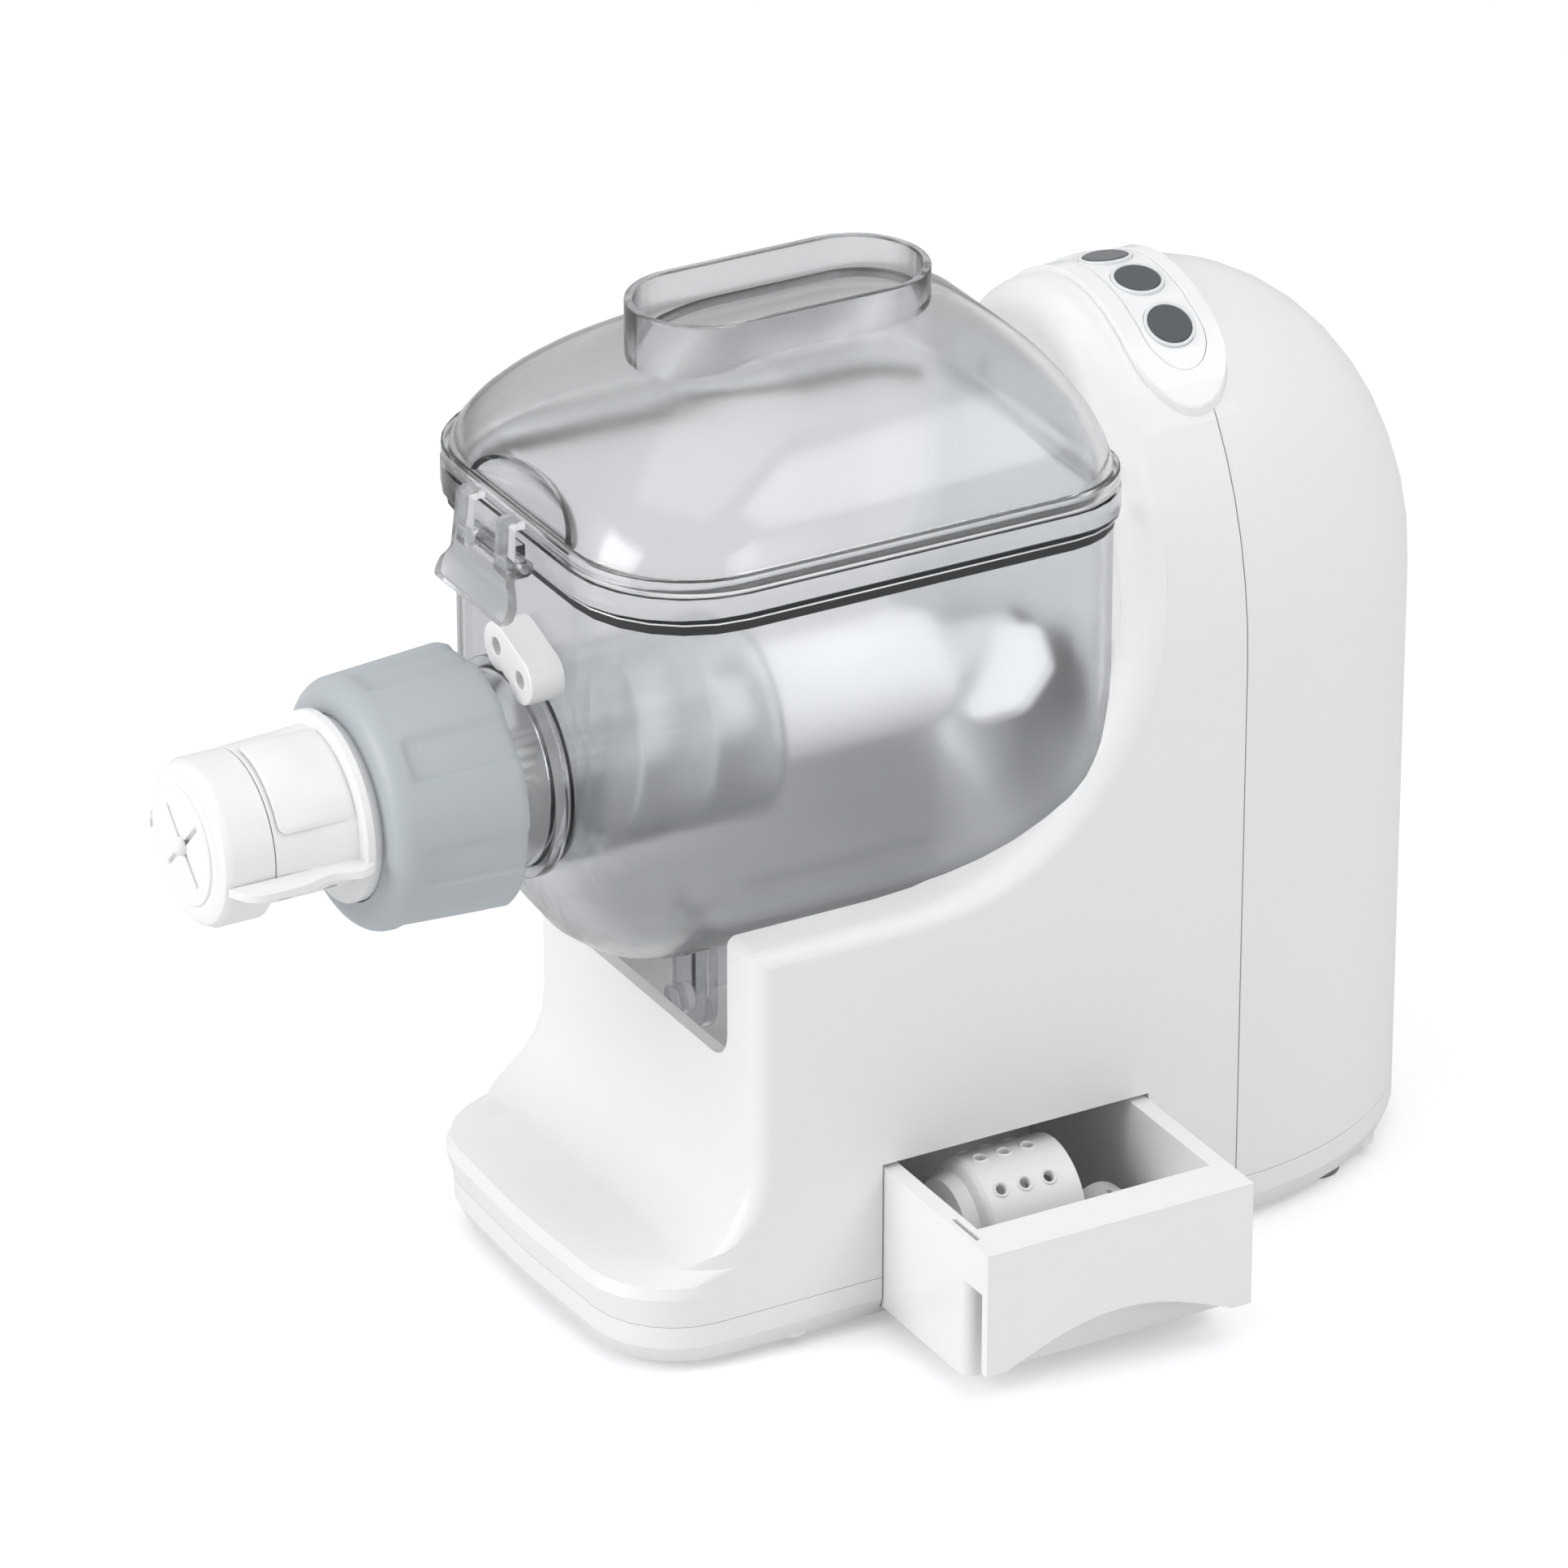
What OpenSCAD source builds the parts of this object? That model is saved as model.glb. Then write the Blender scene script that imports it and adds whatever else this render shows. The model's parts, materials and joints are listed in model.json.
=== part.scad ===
// Electric pasta maker: housing with an open cradle, clear mixing bowl and lid,
// coaxial paddle and extruder screw, nozzle with lock ring, gear train, and a drawer for the dies.
// Millimetres, +Z up, origin on the table under the middle of the base.
// The drawer opens towards +X and the nozzle points towards -Y.

/* [Housing] */
// Width across the side walls
body_w = 133; // [130:1:138]
// Height at which the side walls start to curve into the round top
arch_z = 184; // [180:1:188]
// Height of the round top above that line
arch_h = 100; // [96:1:104]
// Plane where the front housing meets the rear cover, behind the origin
seam_y = 55; // [54:0.5:57]
// Length of the rounded rear cover behind the seam
rear_l = 87; // [84:1:92]
// Distance of the column's front face from the origin
column_y = 107; // [106:0.5:109]
// Distance of the foot's front edge from the origin
foot_y = 148; // [146:1:152]
// Height of the seam between base tray and housing
tray_z = 16.5; // [15:0.5:17]
// Height of the tray's underside above the table
tray_lift = 3.6; // [3.2:0.1:4]
// Wall thickness of the white housings
wall = 3; // [2.6:0.1:3.4]
// Height of the side walls' top beside the bowl
side_z = 130.5; // [128:0.5:134]
// Thickness of the side walls beside the bowl
side_t = 16.5; // [16:0.1:17]
// Height of the cradle floor below the bowl
cradle_z = 72; // [70:1:75]
// Height of the lip at the front of the cradle
lip_z = 90; // [86:1:93]
// Distance of the tower's upper front face behind the origin
tower_y = 30; // [29:0.5:31]

/* [Bowl and lid] */
// Width of the bowl and lid across the rim
rim_w = 143; // [141:0.5:144]
// Distance of the rim's front from the origin
rim_y = 148; // [147:0.5:149]
// Distance of the rim's back behind the origin
rim_back = 19.7; // [19.3:0.1:20]
// Height of the joint between bowl and lid
joint_z = 248; // [246:0.5:249]
// Height of the bowl's rim flange
rim_h = 8; // [7:0.5:8.5]
// Outer radius of the bowl's round bottom about the drive axis
trough_r = 64.6; // [64:0.1:64.8]
// Wall thickness of the clear bowl and lid
clear_t = 3; // [2.6:0.1:3.4]
// Height of the chute's rim above the joint
chute_h = 57; // [55:0.5:58]
// Length of the oval feed chute
chute_l = 93; // [88:1:96]
// Width of the oval feed chute
chute_w = 44; // [42:1:47]

/* [Drive and nozzle] */
// Height of the axis of shaft, screw and nozzle
axis_z = 173.5; // [172:0.5:175]
// Bore radius of the extrusion barrel
barrel_r = 26; // [25:0.5:26]
// Radial gap between the screw and the barrel
screw_gap = 0.6; // [0.4:0.1:1]
// Pitch of the screw's flight
screw_pitch = 24; // [20:1:28]
// Radius of the drive shaft
shaft_r = 5; // [4.5:0.1:5.5]
// Radius of the lock ring at its rear edge
ring_r = 39; // [38:0.5:40]
// Length of the lock ring
ring_l = 41; // [40:0.5:42]
// Radius of the round die behind the cap
drum_r = 21.5; // [20.5:0.5:22]
// Length from the lock ring's front to the cap's front face
nozzle_l = 49; // [47:1:52]
// Gear module of the first stage
gear_m1 = 1; // [0.98:0.01:1.02]
// Gear module of the second stage
gear_m2 = 1.25; // [1.22:0.01:1.27]

/* [Drawer] */
// Width of the drawer along the machine
drawer_w = 88.4; // [86:0.2:90]
// Height of the drawer's top edge
drawer_z = 52; // [50:0.5:54]
// Length of the drawer from its back to its front panel
drawer_l = 122; // [118:1:124]
// How far the drawer stands open at rest
drawer_open = 59; // [50:1:62]
// Thickness of the drawer's side walls
drawer_t = 5.5; // [4.5:0.5:6]
// Gap between the drawer and its bay
drawer_gap = 0.5; // [0.4:0.1:0.8]

/* [Controls] */
// Radius of the round buttons
button_r = 6.7; // [6.2:0.1:7]
// Spacing of the buttons across the machine
button_pitch = 17.4; // [17:0.1:18.5]
// How far a button moves when pressed
button_travel = 0.8; // [0.6:0.1:1]

/* [Hidden] */

// Shared fits
eps = 0.01;
over = 1;
fit = 0.3;
seat = 0.05;
running = 0.06;
arc_steps = 6;
$fn = 64;

// Working sizes of the housing
half_w = body_w / 2;
top_z = arch_z + arch_h;
rear_y = seam_y + rear_l;
cradle_w = body_w - 2 * side_t;

// Plain helpers for outlines
function unit(v) = v / norm(v);
function flat(p) = [p[0], p[1]];
function turn(v, a) = [v[0] * cos(a) - v[1] * sin(a), v[0] * sin(a) + v[1] * cos(a)];
// Round one corner p of an outline between its neighbours a and b with radius r
function corner(a, p, b, r) =
    let (u = unit(a - p), v = unit(b - p), half = acos(u * v) / 2, c = p + unit(u + v) * r / sin(half),
         s = p + u * r / tan(half) - c, e = p + v * r / tan(half) - c, sweep = atan2(cross(s, e), s * e))
    [for (i = [0 : arc_steps]) c + turn(s, sweep * i / arc_steps)];
// An outline from corners [x, y] or [x, y, radius]
function rounded(pts) = let (n = len(pts))
    [for (i = [0 : n - 1]) each (len(pts[i]) < 3 ? [flat(pts[i])]
        : corner(flat(pts[(i + n - 1) % n]), flat(pts[i]), flat(pts[(i + 1) % n]), pts[i][2]))];

// Prisms along each axis from an outline: XY standing up, YZ across the machine, XZ along it
module prism_z(pts, z0, z1) { translate([0, 0, z0]) linear_extrude(z1 - z0) polygon(pts); }
module prism_x(pts, x0, x1) {
    translate([x0, 0, 0]) rotate([90, 0, 90]) linear_extrude(x1 - x0) polygon(pts);
}
module prism_y(pts, y0, y1) {
    translate([0, y1, 0]) rotate([90, 0, 0]) linear_extrude(y1 - y0) polygon(pts);
}
// A round bar along Y on the drive axis, or at another height
module bar_y(r, y0, y1, z = axis_z, x = 0) {
    translate([x, y1, z]) rotate([90, 0, 0]) cylinder(r = r, h = y1 - y0);
}
// A round bar across the machine
module bar_x(r, x0, x1, y, z) {
    translate([x0, y, z]) rotate([0, 90, 0]) cylinder(r = r, h = x1 - x0);
}
// A turned body about the drive axis from points [radius, y]
module turned_y(pts) {
    translate([0, 0, axis_z]) rotate([-90, 0, 0]) rotate_extrude() polygon(pts);
}

// Arch of the tower seen from the front: half an ellipse on straight sides, moved inwards by inset
arch_step = 7.5;
function arch_line(inset) = [for (a = [0 : arch_step : 180])
    [(half_w - inset) * cos(a), arch_z + (arch_h - inset) * sin(a)]];
function arch_outline(z0, inset) =
    concat([[-half_w + inset, z0], [half_w - inset, z0]], arch_line(inset));
// Height and slope of the arch above a place x
function arch_top(x) = arch_z + arch_h * sqrt(1 - pow(x / half_w, 2));
function arch_tilt(x) = atan2(x / pow(half_w, 2), (arch_top(x) - arch_z) / pow(arch_h, 2));

// Side view of the front housing's outer edge
nose_back = 9;
seat_gap = 0.2;
face_y = rim_back + seat_gap;
tower_round = tower_y - face_y;
curve_y = -60;
curve_steps = 12;
curve_bend = 2.25;
curve_top_z = 225;
function curve(t) = [
    curve_y + (face_y - curve_y) * pow(sin(t), 2 / curve_bend),
    curve_top_z - (curve_top_z - side_z) * pow(cos(t), 2 / curve_bend)];
side_curve = [for (i = [0 : curve_steps]) curve(90 * i / curve_steps)];
sweep_z = 36;
sweep_r = 30;
toe_z = 29;
column_edge_r = 3;
sweep_line = corner([-foot_y - nose_back, toe_z], [-column_y, sweep_z], [-column_y, side_z], sweep_r);
side_view = concat(
    [[seam_y, tray_z], [-foot_y + 2 * nose_back, tray_z]],
    sweep_line,
    corner([-column_y, sweep_z], [-column_y, side_z], [curve_y, side_z], column_edge_r),
    side_curve, [[face_y, top_z + over], [seam_y, top_z + over]]);

// Rounding of the outer edges: a cutter swept along points [y, z, radius] on the arch's surface
edge_r = 6;
edge_steps = 5;
// Half the width of the arch's straight facets at a height z
function arch_x(z) =
    let (a = asin(min(max(z - arch_z, 0) / arch_h, 1)),
         k = min(floor(a / arch_step + eps), 90 / arch_step - 1),
         z0 = arch_z + arch_h * sin(k * arch_step),
         z1 = arch_z + arch_h * sin((k + 1) * arch_step),
         x0 = half_w * cos(k * arch_step),
         x1 = half_w * cos((k + 1) * arch_step))
    z <= arch_z ? half_w : x0 + (x1 - x0) * (z - z0) / (z1 - z0);
// Section of the cutter at one point: an arc between side and edge face, and three points outside
function edge_section(path, i) =
    let (p = path[i],
         q = path[min(i + 1, len(path) - 1)] - path[max(i - 1, 0)],
         n = unit([0, -q[1], q[0]]),
         x = arch_x(p[1]),
         r = p[2],
         s = unit([x / pow(half_w, 2), 0, max(p[1] - arch_z, 0) / pow(arch_h, 2)]),
         e = [x, p[0], p[1]])
    concat([for (j = [0 : edge_steps]) let (a = 90 * j / edge_steps)
            e - r * (s + n) + r * (cos(a) * s + sin(a) * n)],
        [e - r * s + over * n, e + over * (s + n), e - r * n + over * s]);
module edge_cutter(path) {
    n = edge_steps + 4;
    far = n - 2;
    last = (len(path) - 1) * n;
    pts = [for (i = [0 : len(path) - 1]) each edge_section(path, i)];
    walls = [for (a = [0 : n : last - n], k = [0 : n - 1]) let (b = a + k, c = a + (k + 1) % n)
        each [[b, c + n, c], [b, b + n, c + n]]];
    caps = [for (k = [0 : n - 3]) let (b = (k + n - 1) % n)
        each [[far, b, k], [last + far, last + k, last + b]]];
    for (m = [0, 1]) mirror([m, 0, 0]) polyhedron(pts, concat(walls, caps));
}
front_path = concat([for (p = sweep_line) [p[0], p[1], edge_r * min(1, 1 / 2 + (p[1] - sweep_z) / sweep_r)]],
    [[-column_y, (side_z + sweep_z + sweep_r) / 2, edge_r], [-column_y, side_z + 2 * edge_r, edge_r]]);
top_path = concat([[-column_y - 2 * edge_r, side_z, edge_r]],
    [for (i = [0 : curve_steps]) let (p = side_curve[i])
        [p[0], p[1], edge_r + (tower_round - edge_r) * i / curve_steps]],
    [for (a = [4 * arch_step : arch_step : 90]) [face_y, arch_z + arch_h * sin(a), tower_round]]);

// Plan of the foot: its front moved back by setback and its sides moved in by inset
foot_corner_y = 3;
foot_corner_r = 27;
foot_front_r = 300;
function foot_front(setback, inset = 0) = let (x = half_w - inset, y = -foot_y + setback)
    concat(corner([-x, seam_y], [-x, y + foot_corner_y], [0, y], foot_corner_r),
        corner([-x, y + foot_corner_y], [0, y], [x, y + foot_corner_y], foot_front_r),
        corner([0, y], [x, y + foot_corner_y], [x, seam_y], foot_corner_r));
function rear_line(inset) = [for (a = [0 : arch_step : 180])
    [(half_w - inset) * cos(a), seam_y + (rear_l - inset) * sin(a)]];

// Drawer and the bay that it slides in
floor_share = 0.8;
floor_top = tray_lift + floor_share * wall;
drawer_y0 = -64.7;
drawer_y1 = drawer_y0 + drawer_w;
bay_y0 = drawer_y0 - drawer_gap;
bay_y1 = drawer_y1 + drawer_gap;
bay_top = drawer_z + 3 * drawer_gap;
bay_x0 = half_w - drawer_l - 2 * drawer_gap;
bay_t = 2;

// Base tray with a raised rim, cut open on the drawer's side
boss_r = 5;
// Half the width inside the walls at a place y
function inner_half(y) = (half_w - wall) * sqrt(1 - pow(max(y - seam_y, 0) / (rear_l - wall), 2));
boss_places = [for (s = [-1, 1], y = [3 * boss_r - column_y, seam_y - 2 * boss_r, rear_y - 6 * boss_r])
    [s * (inner_half(y) - 0.7 * boss_r), y]];
vent_l = 40;
vent_w = 4;
vent_n = 5;
vent_pitch = 2.5 * vent_w;
tray_bevel = 2.6;
tray_bevel_h = 6;
module tray_form() {
    hull() {
        prism_z(concat(foot_front(0), rear_line(0)), tray_lift + tray_bevel_h, tray_z);
        prism_z(concat(foot_front(tray_bevel, tray_bevel), rear_line(tray_bevel)), tray_lift, tray_z - over);
    }
}
module base_tray() {
    color("whitesmoke") difference() {
        union() {
            difference() {
                tray_form();
                prism_z(concat(foot_front(wall, wall), rear_line(wall)), floor_top, tray_z + over);
            }
            for (p = boss_places) translate([p[0], p[1], tray_lift])
                cylinder(r = boss_r, h = tray_z - tray_lift - fit);
            motor_saddle();
        }
        for (p = boss_places) translate([p[0], p[1], 0]) {
            cylinder(r = screw_r + running, h = tray_z + over);
            cylinder(r = screw_head_r + fit, h = tray_lift + screw_head_h + fit);
        }
        for (p = foot_places) translate([p[0], p[1], 0]) cylinder(r = pad_r + seat, h = tray_lift + pad_seat);
        translate([0, bay_y0, floor_top]) cube([body_w, bay_y1 - bay_y0, tray_z]);
        for (i = [0 : vent_n - 1])
            translate([(i - (vent_n - 1) / 2) * vent_pitch - vent_w / 2, seam_y + 3 * boss_r, 0])
                cube([vent_w, vent_l, tray_z]);
    }
}

// Rubber feet pressed into the tray
pad_r = 8;
pad_seat = 1.2;
foot_places = [for (x = [-1, 1], y = [-foot_y + 3 * pad_r, seam_y + 5 * pad_r])
    [x * (half_w - 2.6 * pad_r), y]];
module rubber_feet() {
    color("dimgray") for (p = foot_places) translate([p[0], p[1], 0]) {
        cylinder(r = pad_r, h = tray_lift + pad_seat);
    }
}

// Screws that hold the tray to the housings
screw_r = 1.6;
screw_head_r = 3.2;
screw_head_h = 2;
screw_l = 16;
module base_screws() {
    color("silver") for (p = boss_places) translate([p[0], p[1], tray_lift]) difference() {
        union() {
            translate([0, 0, fit]) cylinder(r = screw_head_r, h = screw_head_h);
            cylinder(r = screw_r, h = screw_l);
        }
        translate([-screw_r / 4, -screw_r, -over]) cube([screw_r / 2, 2 * screw_r, screw_head_h / 2 + over]);
    }
}
// Posts in the housings that take the screws
module screw_posts(front) {
    for (p = boss_places) if ((p[1] < seam_y) == front) translate([p[0], p[1], tray_z]) difference() {
        cylinder(r = boss_r, h = screw_l);
        translate([0, 0, -over]) cylinder(r = screw_r + running, h = screw_l - screw_r);
    }
}

// Front housing: foot, column, cradle with side walls, and the front half of the tower
crest_z = 26;
crest_out = 2.6;
nose_z = 33;
module foot_nose() {
    tail = [[half_w, 0], [-half_w, 0]];
    hull() {
        prism_z(concat(foot_front(0), tail), tray_z, tray_z + eps);
        prism_z(concat(foot_front(-crest_out), tail), crest_z - eps, crest_z);
        prism_z(concat(foot_front(-crest_out / 3), tail), crest_z, (crest_z + nose_z) / 2);
        prism_z(concat(foot_front(nose_back), tail), crest_z, nose_z);
        prism_z(concat(foot_front(nose_back + foot_corner_r), tail), crest_z, sweep_z);
    }
}
cradle_r = 9;
cradle_wall = 4;
bore_boss_r = 13;
function cradle_outline(z0) = rounded([[-cradle_w / 2, z0, cradle_r], [cradle_w / 2, z0, cradle_r],
    [cradle_w / 2, axis_z], [-cradle_w / 2, axis_z]]);
// Front half of the tower with a broad rounding around its front face, made smaller by inset
module tower_form(inset, z0, y1) {
    hull() for (a = [0 : 30 : 90])
        prism_y(arch_outline(z0, inset + tower_round * (1 - sin(a))),
            face_y + inset + tower_round * (1 - cos(a)), y1);
}
module front_form() {
    rear_end = [[half_w, seam_y + over], [-half_w, seam_y + over]];
    foot_nose();
    intersection() {
        prism_x(side_view, -half_w, half_w);
        prism_y(arch_outline(0, 0), -foot_y, seam_y);
        prism_z(concat(foot_front(nose_back), rear_end), 0, 2 * top_z);
    }
}
module front_housing() {
    color("whitesmoke") difference() {
        union() {
            difference() {
                front_form();
                edge_cutter(front_path);
                edge_cutter(top_path);
                prism_y(cradle_outline(cradle_z), -column_y + cradle_wall, face_y - over);
                prism_y(cradle_outline(lip_z), -foot_y, -column_y + cradle_wall + eps);
                trough_form(-seat_gap - eps);
                tower_form(wall, tray_z - over, seam_y + over);
                translate([-half_w + wall, -column_y + wall, tray_z - over])
                    cube([body_w - 2 * wall, column_y + seam_y, cradle_z - wall - tray_z + over]);
            }
            screw_posts(true);
            bar_y(bore_boss_r, face_y + eps, bush_y0);
            panel_ledge();
        }
        translate([half_w - 2 * wall, bay_y0, 0]) cube([3 * wall, bay_y1 - bay_y0, bay_top]);
        bezel_form(-bezel_seat, top_z, 0);
        panel_window(0);
        bar_y(shaft_r + 4 * fit, face_y - over, seam_y);
        bar_y(seal_r + seat, face_y - over, face_y + seal_h);
        bar_y(plunger_r + running, face_y - over, face_y + 5 * wall, plunger_z, plunger_x);
    }
}

// Rear cover: a dome that closes the tower, from rings of points at rising heights
module rear_form(inset, z0) {
    a = half_w - inset;
    b = rear_l - inset;
    h = arch_h - inset;
    cols = 180 / arch_step;
    rows = 90 / arch_step;
    levels = concat([[z0, 1]],
        [for (j = [0 : rows - 1]) [arch_z + h * sin(j * arch_step), cos(j * arch_step)]]);
    pts = concat([for (lv = levels) each [for (i = [0 : cols])
        [a * cos(i * arch_step) * lv[1], seam_y + b * sin(i * arch_step) * lv[1], lv[0]]]],
        [[0, seam_y, arch_z + h]]);
    n = cols + 1;
    top = len(levels) - 1;
    apex = len(pts) - 1;
    faces = concat(
        [for (j = [0 : top - 1], i = [0 : cols - 1]) let (p = j * n + i)
            each [[p, p + n, p + n + 1], [p, p + n + 1, p + 1]]],
        [for (i = [0 : cols - 1]) [top * n + i, apex, top * n + i + 1]],
        [[for (i = [0 : cols]) i]],
        [concat([for (j = [0 : top]) j * n + cols], [apex], [for (j = [top : -1 : 0]) j * n])]);
    polyhedron(pts, faces);
}
rear_slot_n = 7;
rear_slot_l = 22;
rear_slot_z = 58;
module rear_cover() {
    color("whitesmoke") difference() {
        union() {
            difference() {
                rear_form(0, tray_z);
                translate([0, -eps, 0]) rear_form(wall, tray_z - over);
                translate([-half_w + wall, seam_y - over, 0]) cube([body_w - 2 * wall, over + eps, arch_z]);
            }
            screw_posts(false);
        }
        bezel_form(-bezel_seat, top_z, 0);
        panel_window(0);
        for (i = [0 : rear_slot_n - 1])
            translate([(i - (rear_slot_n - 1) / 2) * 2 * vent_w - vent_w / 4, rear_y - 4 * wall, rear_slot_z])
                cube([vent_w / 2, 5 * wall, rear_slot_l]);
        bar_y(gland_r + seat, rear_y - 5 * wall, rear_y + over, gland_z);
    }
}

// Bay for the drawer between tray and cradle
module drawer_bay() {
    color("gainsboro") difference() {
        translate([bay_x0 - bay_t, bay_y0 - bay_t, floor_top])
            cube([half_w - wall - fit - bay_x0 + bay_t, bay_y1 - bay_y0 + 2 * bay_t,
                bay_top + bay_t - floor_top]);
        translate([bay_x0, bay_y0, floor_top - over])
            cube([2 * drawer_l, bay_y1 - bay_y0, bay_top - floor_top + over]);
    }
}

// Rubber gland where the mains lead enters, at the back near the table
gland_r = 7;
gland_bore_r = 3.6;
gland_z = 30;
module cord_gland() {
    color("gray") difference() {
        union() {
            bar_y(gland_r, rear_y - 2.4 * wall, rear_y - 0.1 * wall, gland_z);
            bar_y(gland_r + 0.6 * wall, rear_y - 2.4 * wall, rear_y - 1.5 * wall, gland_z);
        }
        bar_y(gland_bore_r, rear_y - 3 * wall, rear_y + over, gland_z);
    }
}

// Control strip that lies over the top of the tower
bezel_y0 = 34.5;
bezel_y1 = 65.5;
bezel_x = 46;
bezel_up = 1.8;
bezel_seat = 1;
panel_y0 = 41;
panel_y1 = 60.5;
panel_x = 38.5;
panel_gap = 0.15;
window_inset = 3;
function strip_outline(x, y0, y1, grow) =
    let (r = (y1 - y0) / 2 + grow - seat, a = x + grow, b = y0 - grow, c = y1 + grow)
    rounded([[-a, b, r], [a, b, r], [a, c, r], [-a, c, r]]);
// Shell that follows the arch between two levels above the housing's surface
module arch_shell(low, high) {
    difference() {
        prism_y(arch_outline(arch_z, -high), bezel_y0 - over, bezel_y1 + over);
        prism_y(arch_outline(arch_z - over, -low), bezel_y0 - 2 * over, bezel_y1 + 2 * over);
    }
}
module bezel_form(low, high, grow) {
    intersection() {
        arch_shell(low, high);
        prism_z(strip_outline(bezel_x, bezel_y0, bezel_y1, grow), arch_z, top_z + 2 * high);
    }
}
module panel_window(grow) {
    prism_z(strip_outline(panel_x, panel_y0, panel_y1, grow - window_inset), arch_z + arch_h / 3, top_z + over);
}
// Ledge under the panel inside the front housing, where the board is screwed on
board_share = 0.6;
board_z = arch_z + board_share * arch_h;
board_t = 1.6;
board_w = 64;
board_back = 7;
board_y0 = tower_y + 2 * wall;
board_y1 = seam_y + board_back;
module panel_ledge() {
    y0 = face_y + wall / 2;
    for (s = [-1, 1]) translate([s * (board_w / 2 - board_t) - board_t, y0, board_z - 4 * board_t])
        cube([2 * board_t, board_y0 + 3 * board_t - y0, 4 * board_t - fit]);
}
module control_bezel() {
    color("white") difference() {
        bezel_form(-bezel_seat + seat, bezel_up, -seat);
        prism_z(strip_outline(panel_x, panel_y0, panel_y1, 0), arch_z, top_z + 3 * over);
    }
}
button_xs = [for (i = [-1.5 : 1 : 1.5]) i * button_pitch];
// Place something on the strip at x, with Z along the strip's normal and zero on the housing's surface
module on_strip(x) {
    translate([x, (panel_y0 + panel_y1) / 2, arch_top(x)]) rotate([0, arch_tilt(x), 0]) children();
}
ring_w = 1.1;
module control_panel() {
    color("white") difference() {
        intersection() {
            arch_shell(-bezel_seat + seat, bezel_up - seat * 4);
            prism_z(strip_outline(panel_x, panel_y0, panel_y1, -panel_gap), arch_z, top_z + 3 * over);
        }
        for (x = button_xs) on_strip(x) translate([0, 0, -button_r])
            cylinder(r = button_r + ring_w + running, h = 2 * button_r);
    }
}
ring_low = -1;
ring_high = 1.9;
module button_rings() {
    color("azure") for (x = button_xs) on_strip(x) difference() {
        translate([0, 0, ring_low]) cylinder(r = button_r + ring_w, h = ring_high - ring_low);
        translate([0, 0, ring_low - over])
            cylinder(r = button_r + running, h = ring_high - ring_low + 2 * over);
    }
}
button_h = 3.6;
button_top = 2.1;
button_bevel = button_r / 20;
module button(i) {
    color("slategray") on_strip(button_xs[i]) {
        translate([0, 0, button_top - button_h]) cylinder(r = button_r, h = button_h - button_bevel);
        translate([0, 0, button_top - button_bevel])
            cylinder(r1 = button_r, r2 = button_r - button_r / 12, h = button_bevel);
    }
}
module power_button() { button(0); }
module knead_button() { button(1); }
module extrude_button() { button(2); }
module mix_button() { button(3); }
// Circuit board with a switch below each button
switch_r = 2.5;
module control_board() {
    color("seagreen") {
        translate([-board_w / 2, board_y0, board_z]) cube([board_w, board_y1 - board_y0, board_t]);
        intersection() {
            for (x = button_xs) on_strip(x)
                translate([0, 0, button_top - button_h - button_travel - fit - arch_h])
                    cylinder(r = switch_r, h = arch_h);
            translate([-half_w, board_y0, board_z + board_t / 2])
                cube([body_w, board_y1 - board_y0, arch_h]);
        }
    }
}

// Mixing bowl: a trough that is round about the drive axis, with a rim flange, a neck and a foot lug
rim_z = joint_z - rim_h;
rim_front = 2.2;
nose_r = 34;
back_r = 22;
rim_nose_r = 37;
rim_back_r = 26;
// Plan with rounded corners, of radius r0 at the front and r1 at the back
function plan_line(x, y0, y1, r0, r1) = rounded([[-x, y0, r0], [x, y0, r0], [x, y1, r1], [-x, y1, r1]]);
// Plan of rim and lid, and of the bowl below the rim, made smaller by inset
function rim_outline(inset) =
    plan_line(rim_w / 2 - inset, -rim_y + inset, rim_back - inset, rim_nose_r - inset, rim_back_r - inset);
bowl_y0 = -rim_y + rim_front;
function bowl_outline(inset) =
    plan_line(trough_r - inset, bowl_y0 + inset, rim_back - inset, nose_r - inset, back_r - inset);
// Outer form of the bowl below its rim, made smaller by inset
module trough_form(inset) {
    y0 = bowl_y0 + inset;
    y1 = rim_back - inset;
    prism_z(bowl_outline(inset), axis_z, rim_z + over);
    turned_y(concat([[0, y0]],
        corner([0, y0], [trough_r - inset, y0], [trough_r - inset, y1], nose_r - inset),
        corner([trough_r - inset, y0], [trough_r - inset, y1], [0, y1], back_r - inset), [[0, y1]]));
}
neck_r = 29;
neck_flange_r = 32.5;
neck_flange_y = -148;
neck_flange_t = 4;
ring_y1 = -163;
ring_y0 = ring_y1 - ring_l;
neck_in_ring = 6;
neck_end = ring_y0 + neck_in_ring;
lug_r = 10;
lug_y = -92;
lug_t = 4;
lug_z = 85;
lug_top = 112;
peg_r = 4.5;
peg_l = 6;
pin_y = -152;
pin_z = 242;
pin_r = 1.5;
pin_boss_r = 3.6;
pin_boss_w = 16;
skirt_t = 2.4;
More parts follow.
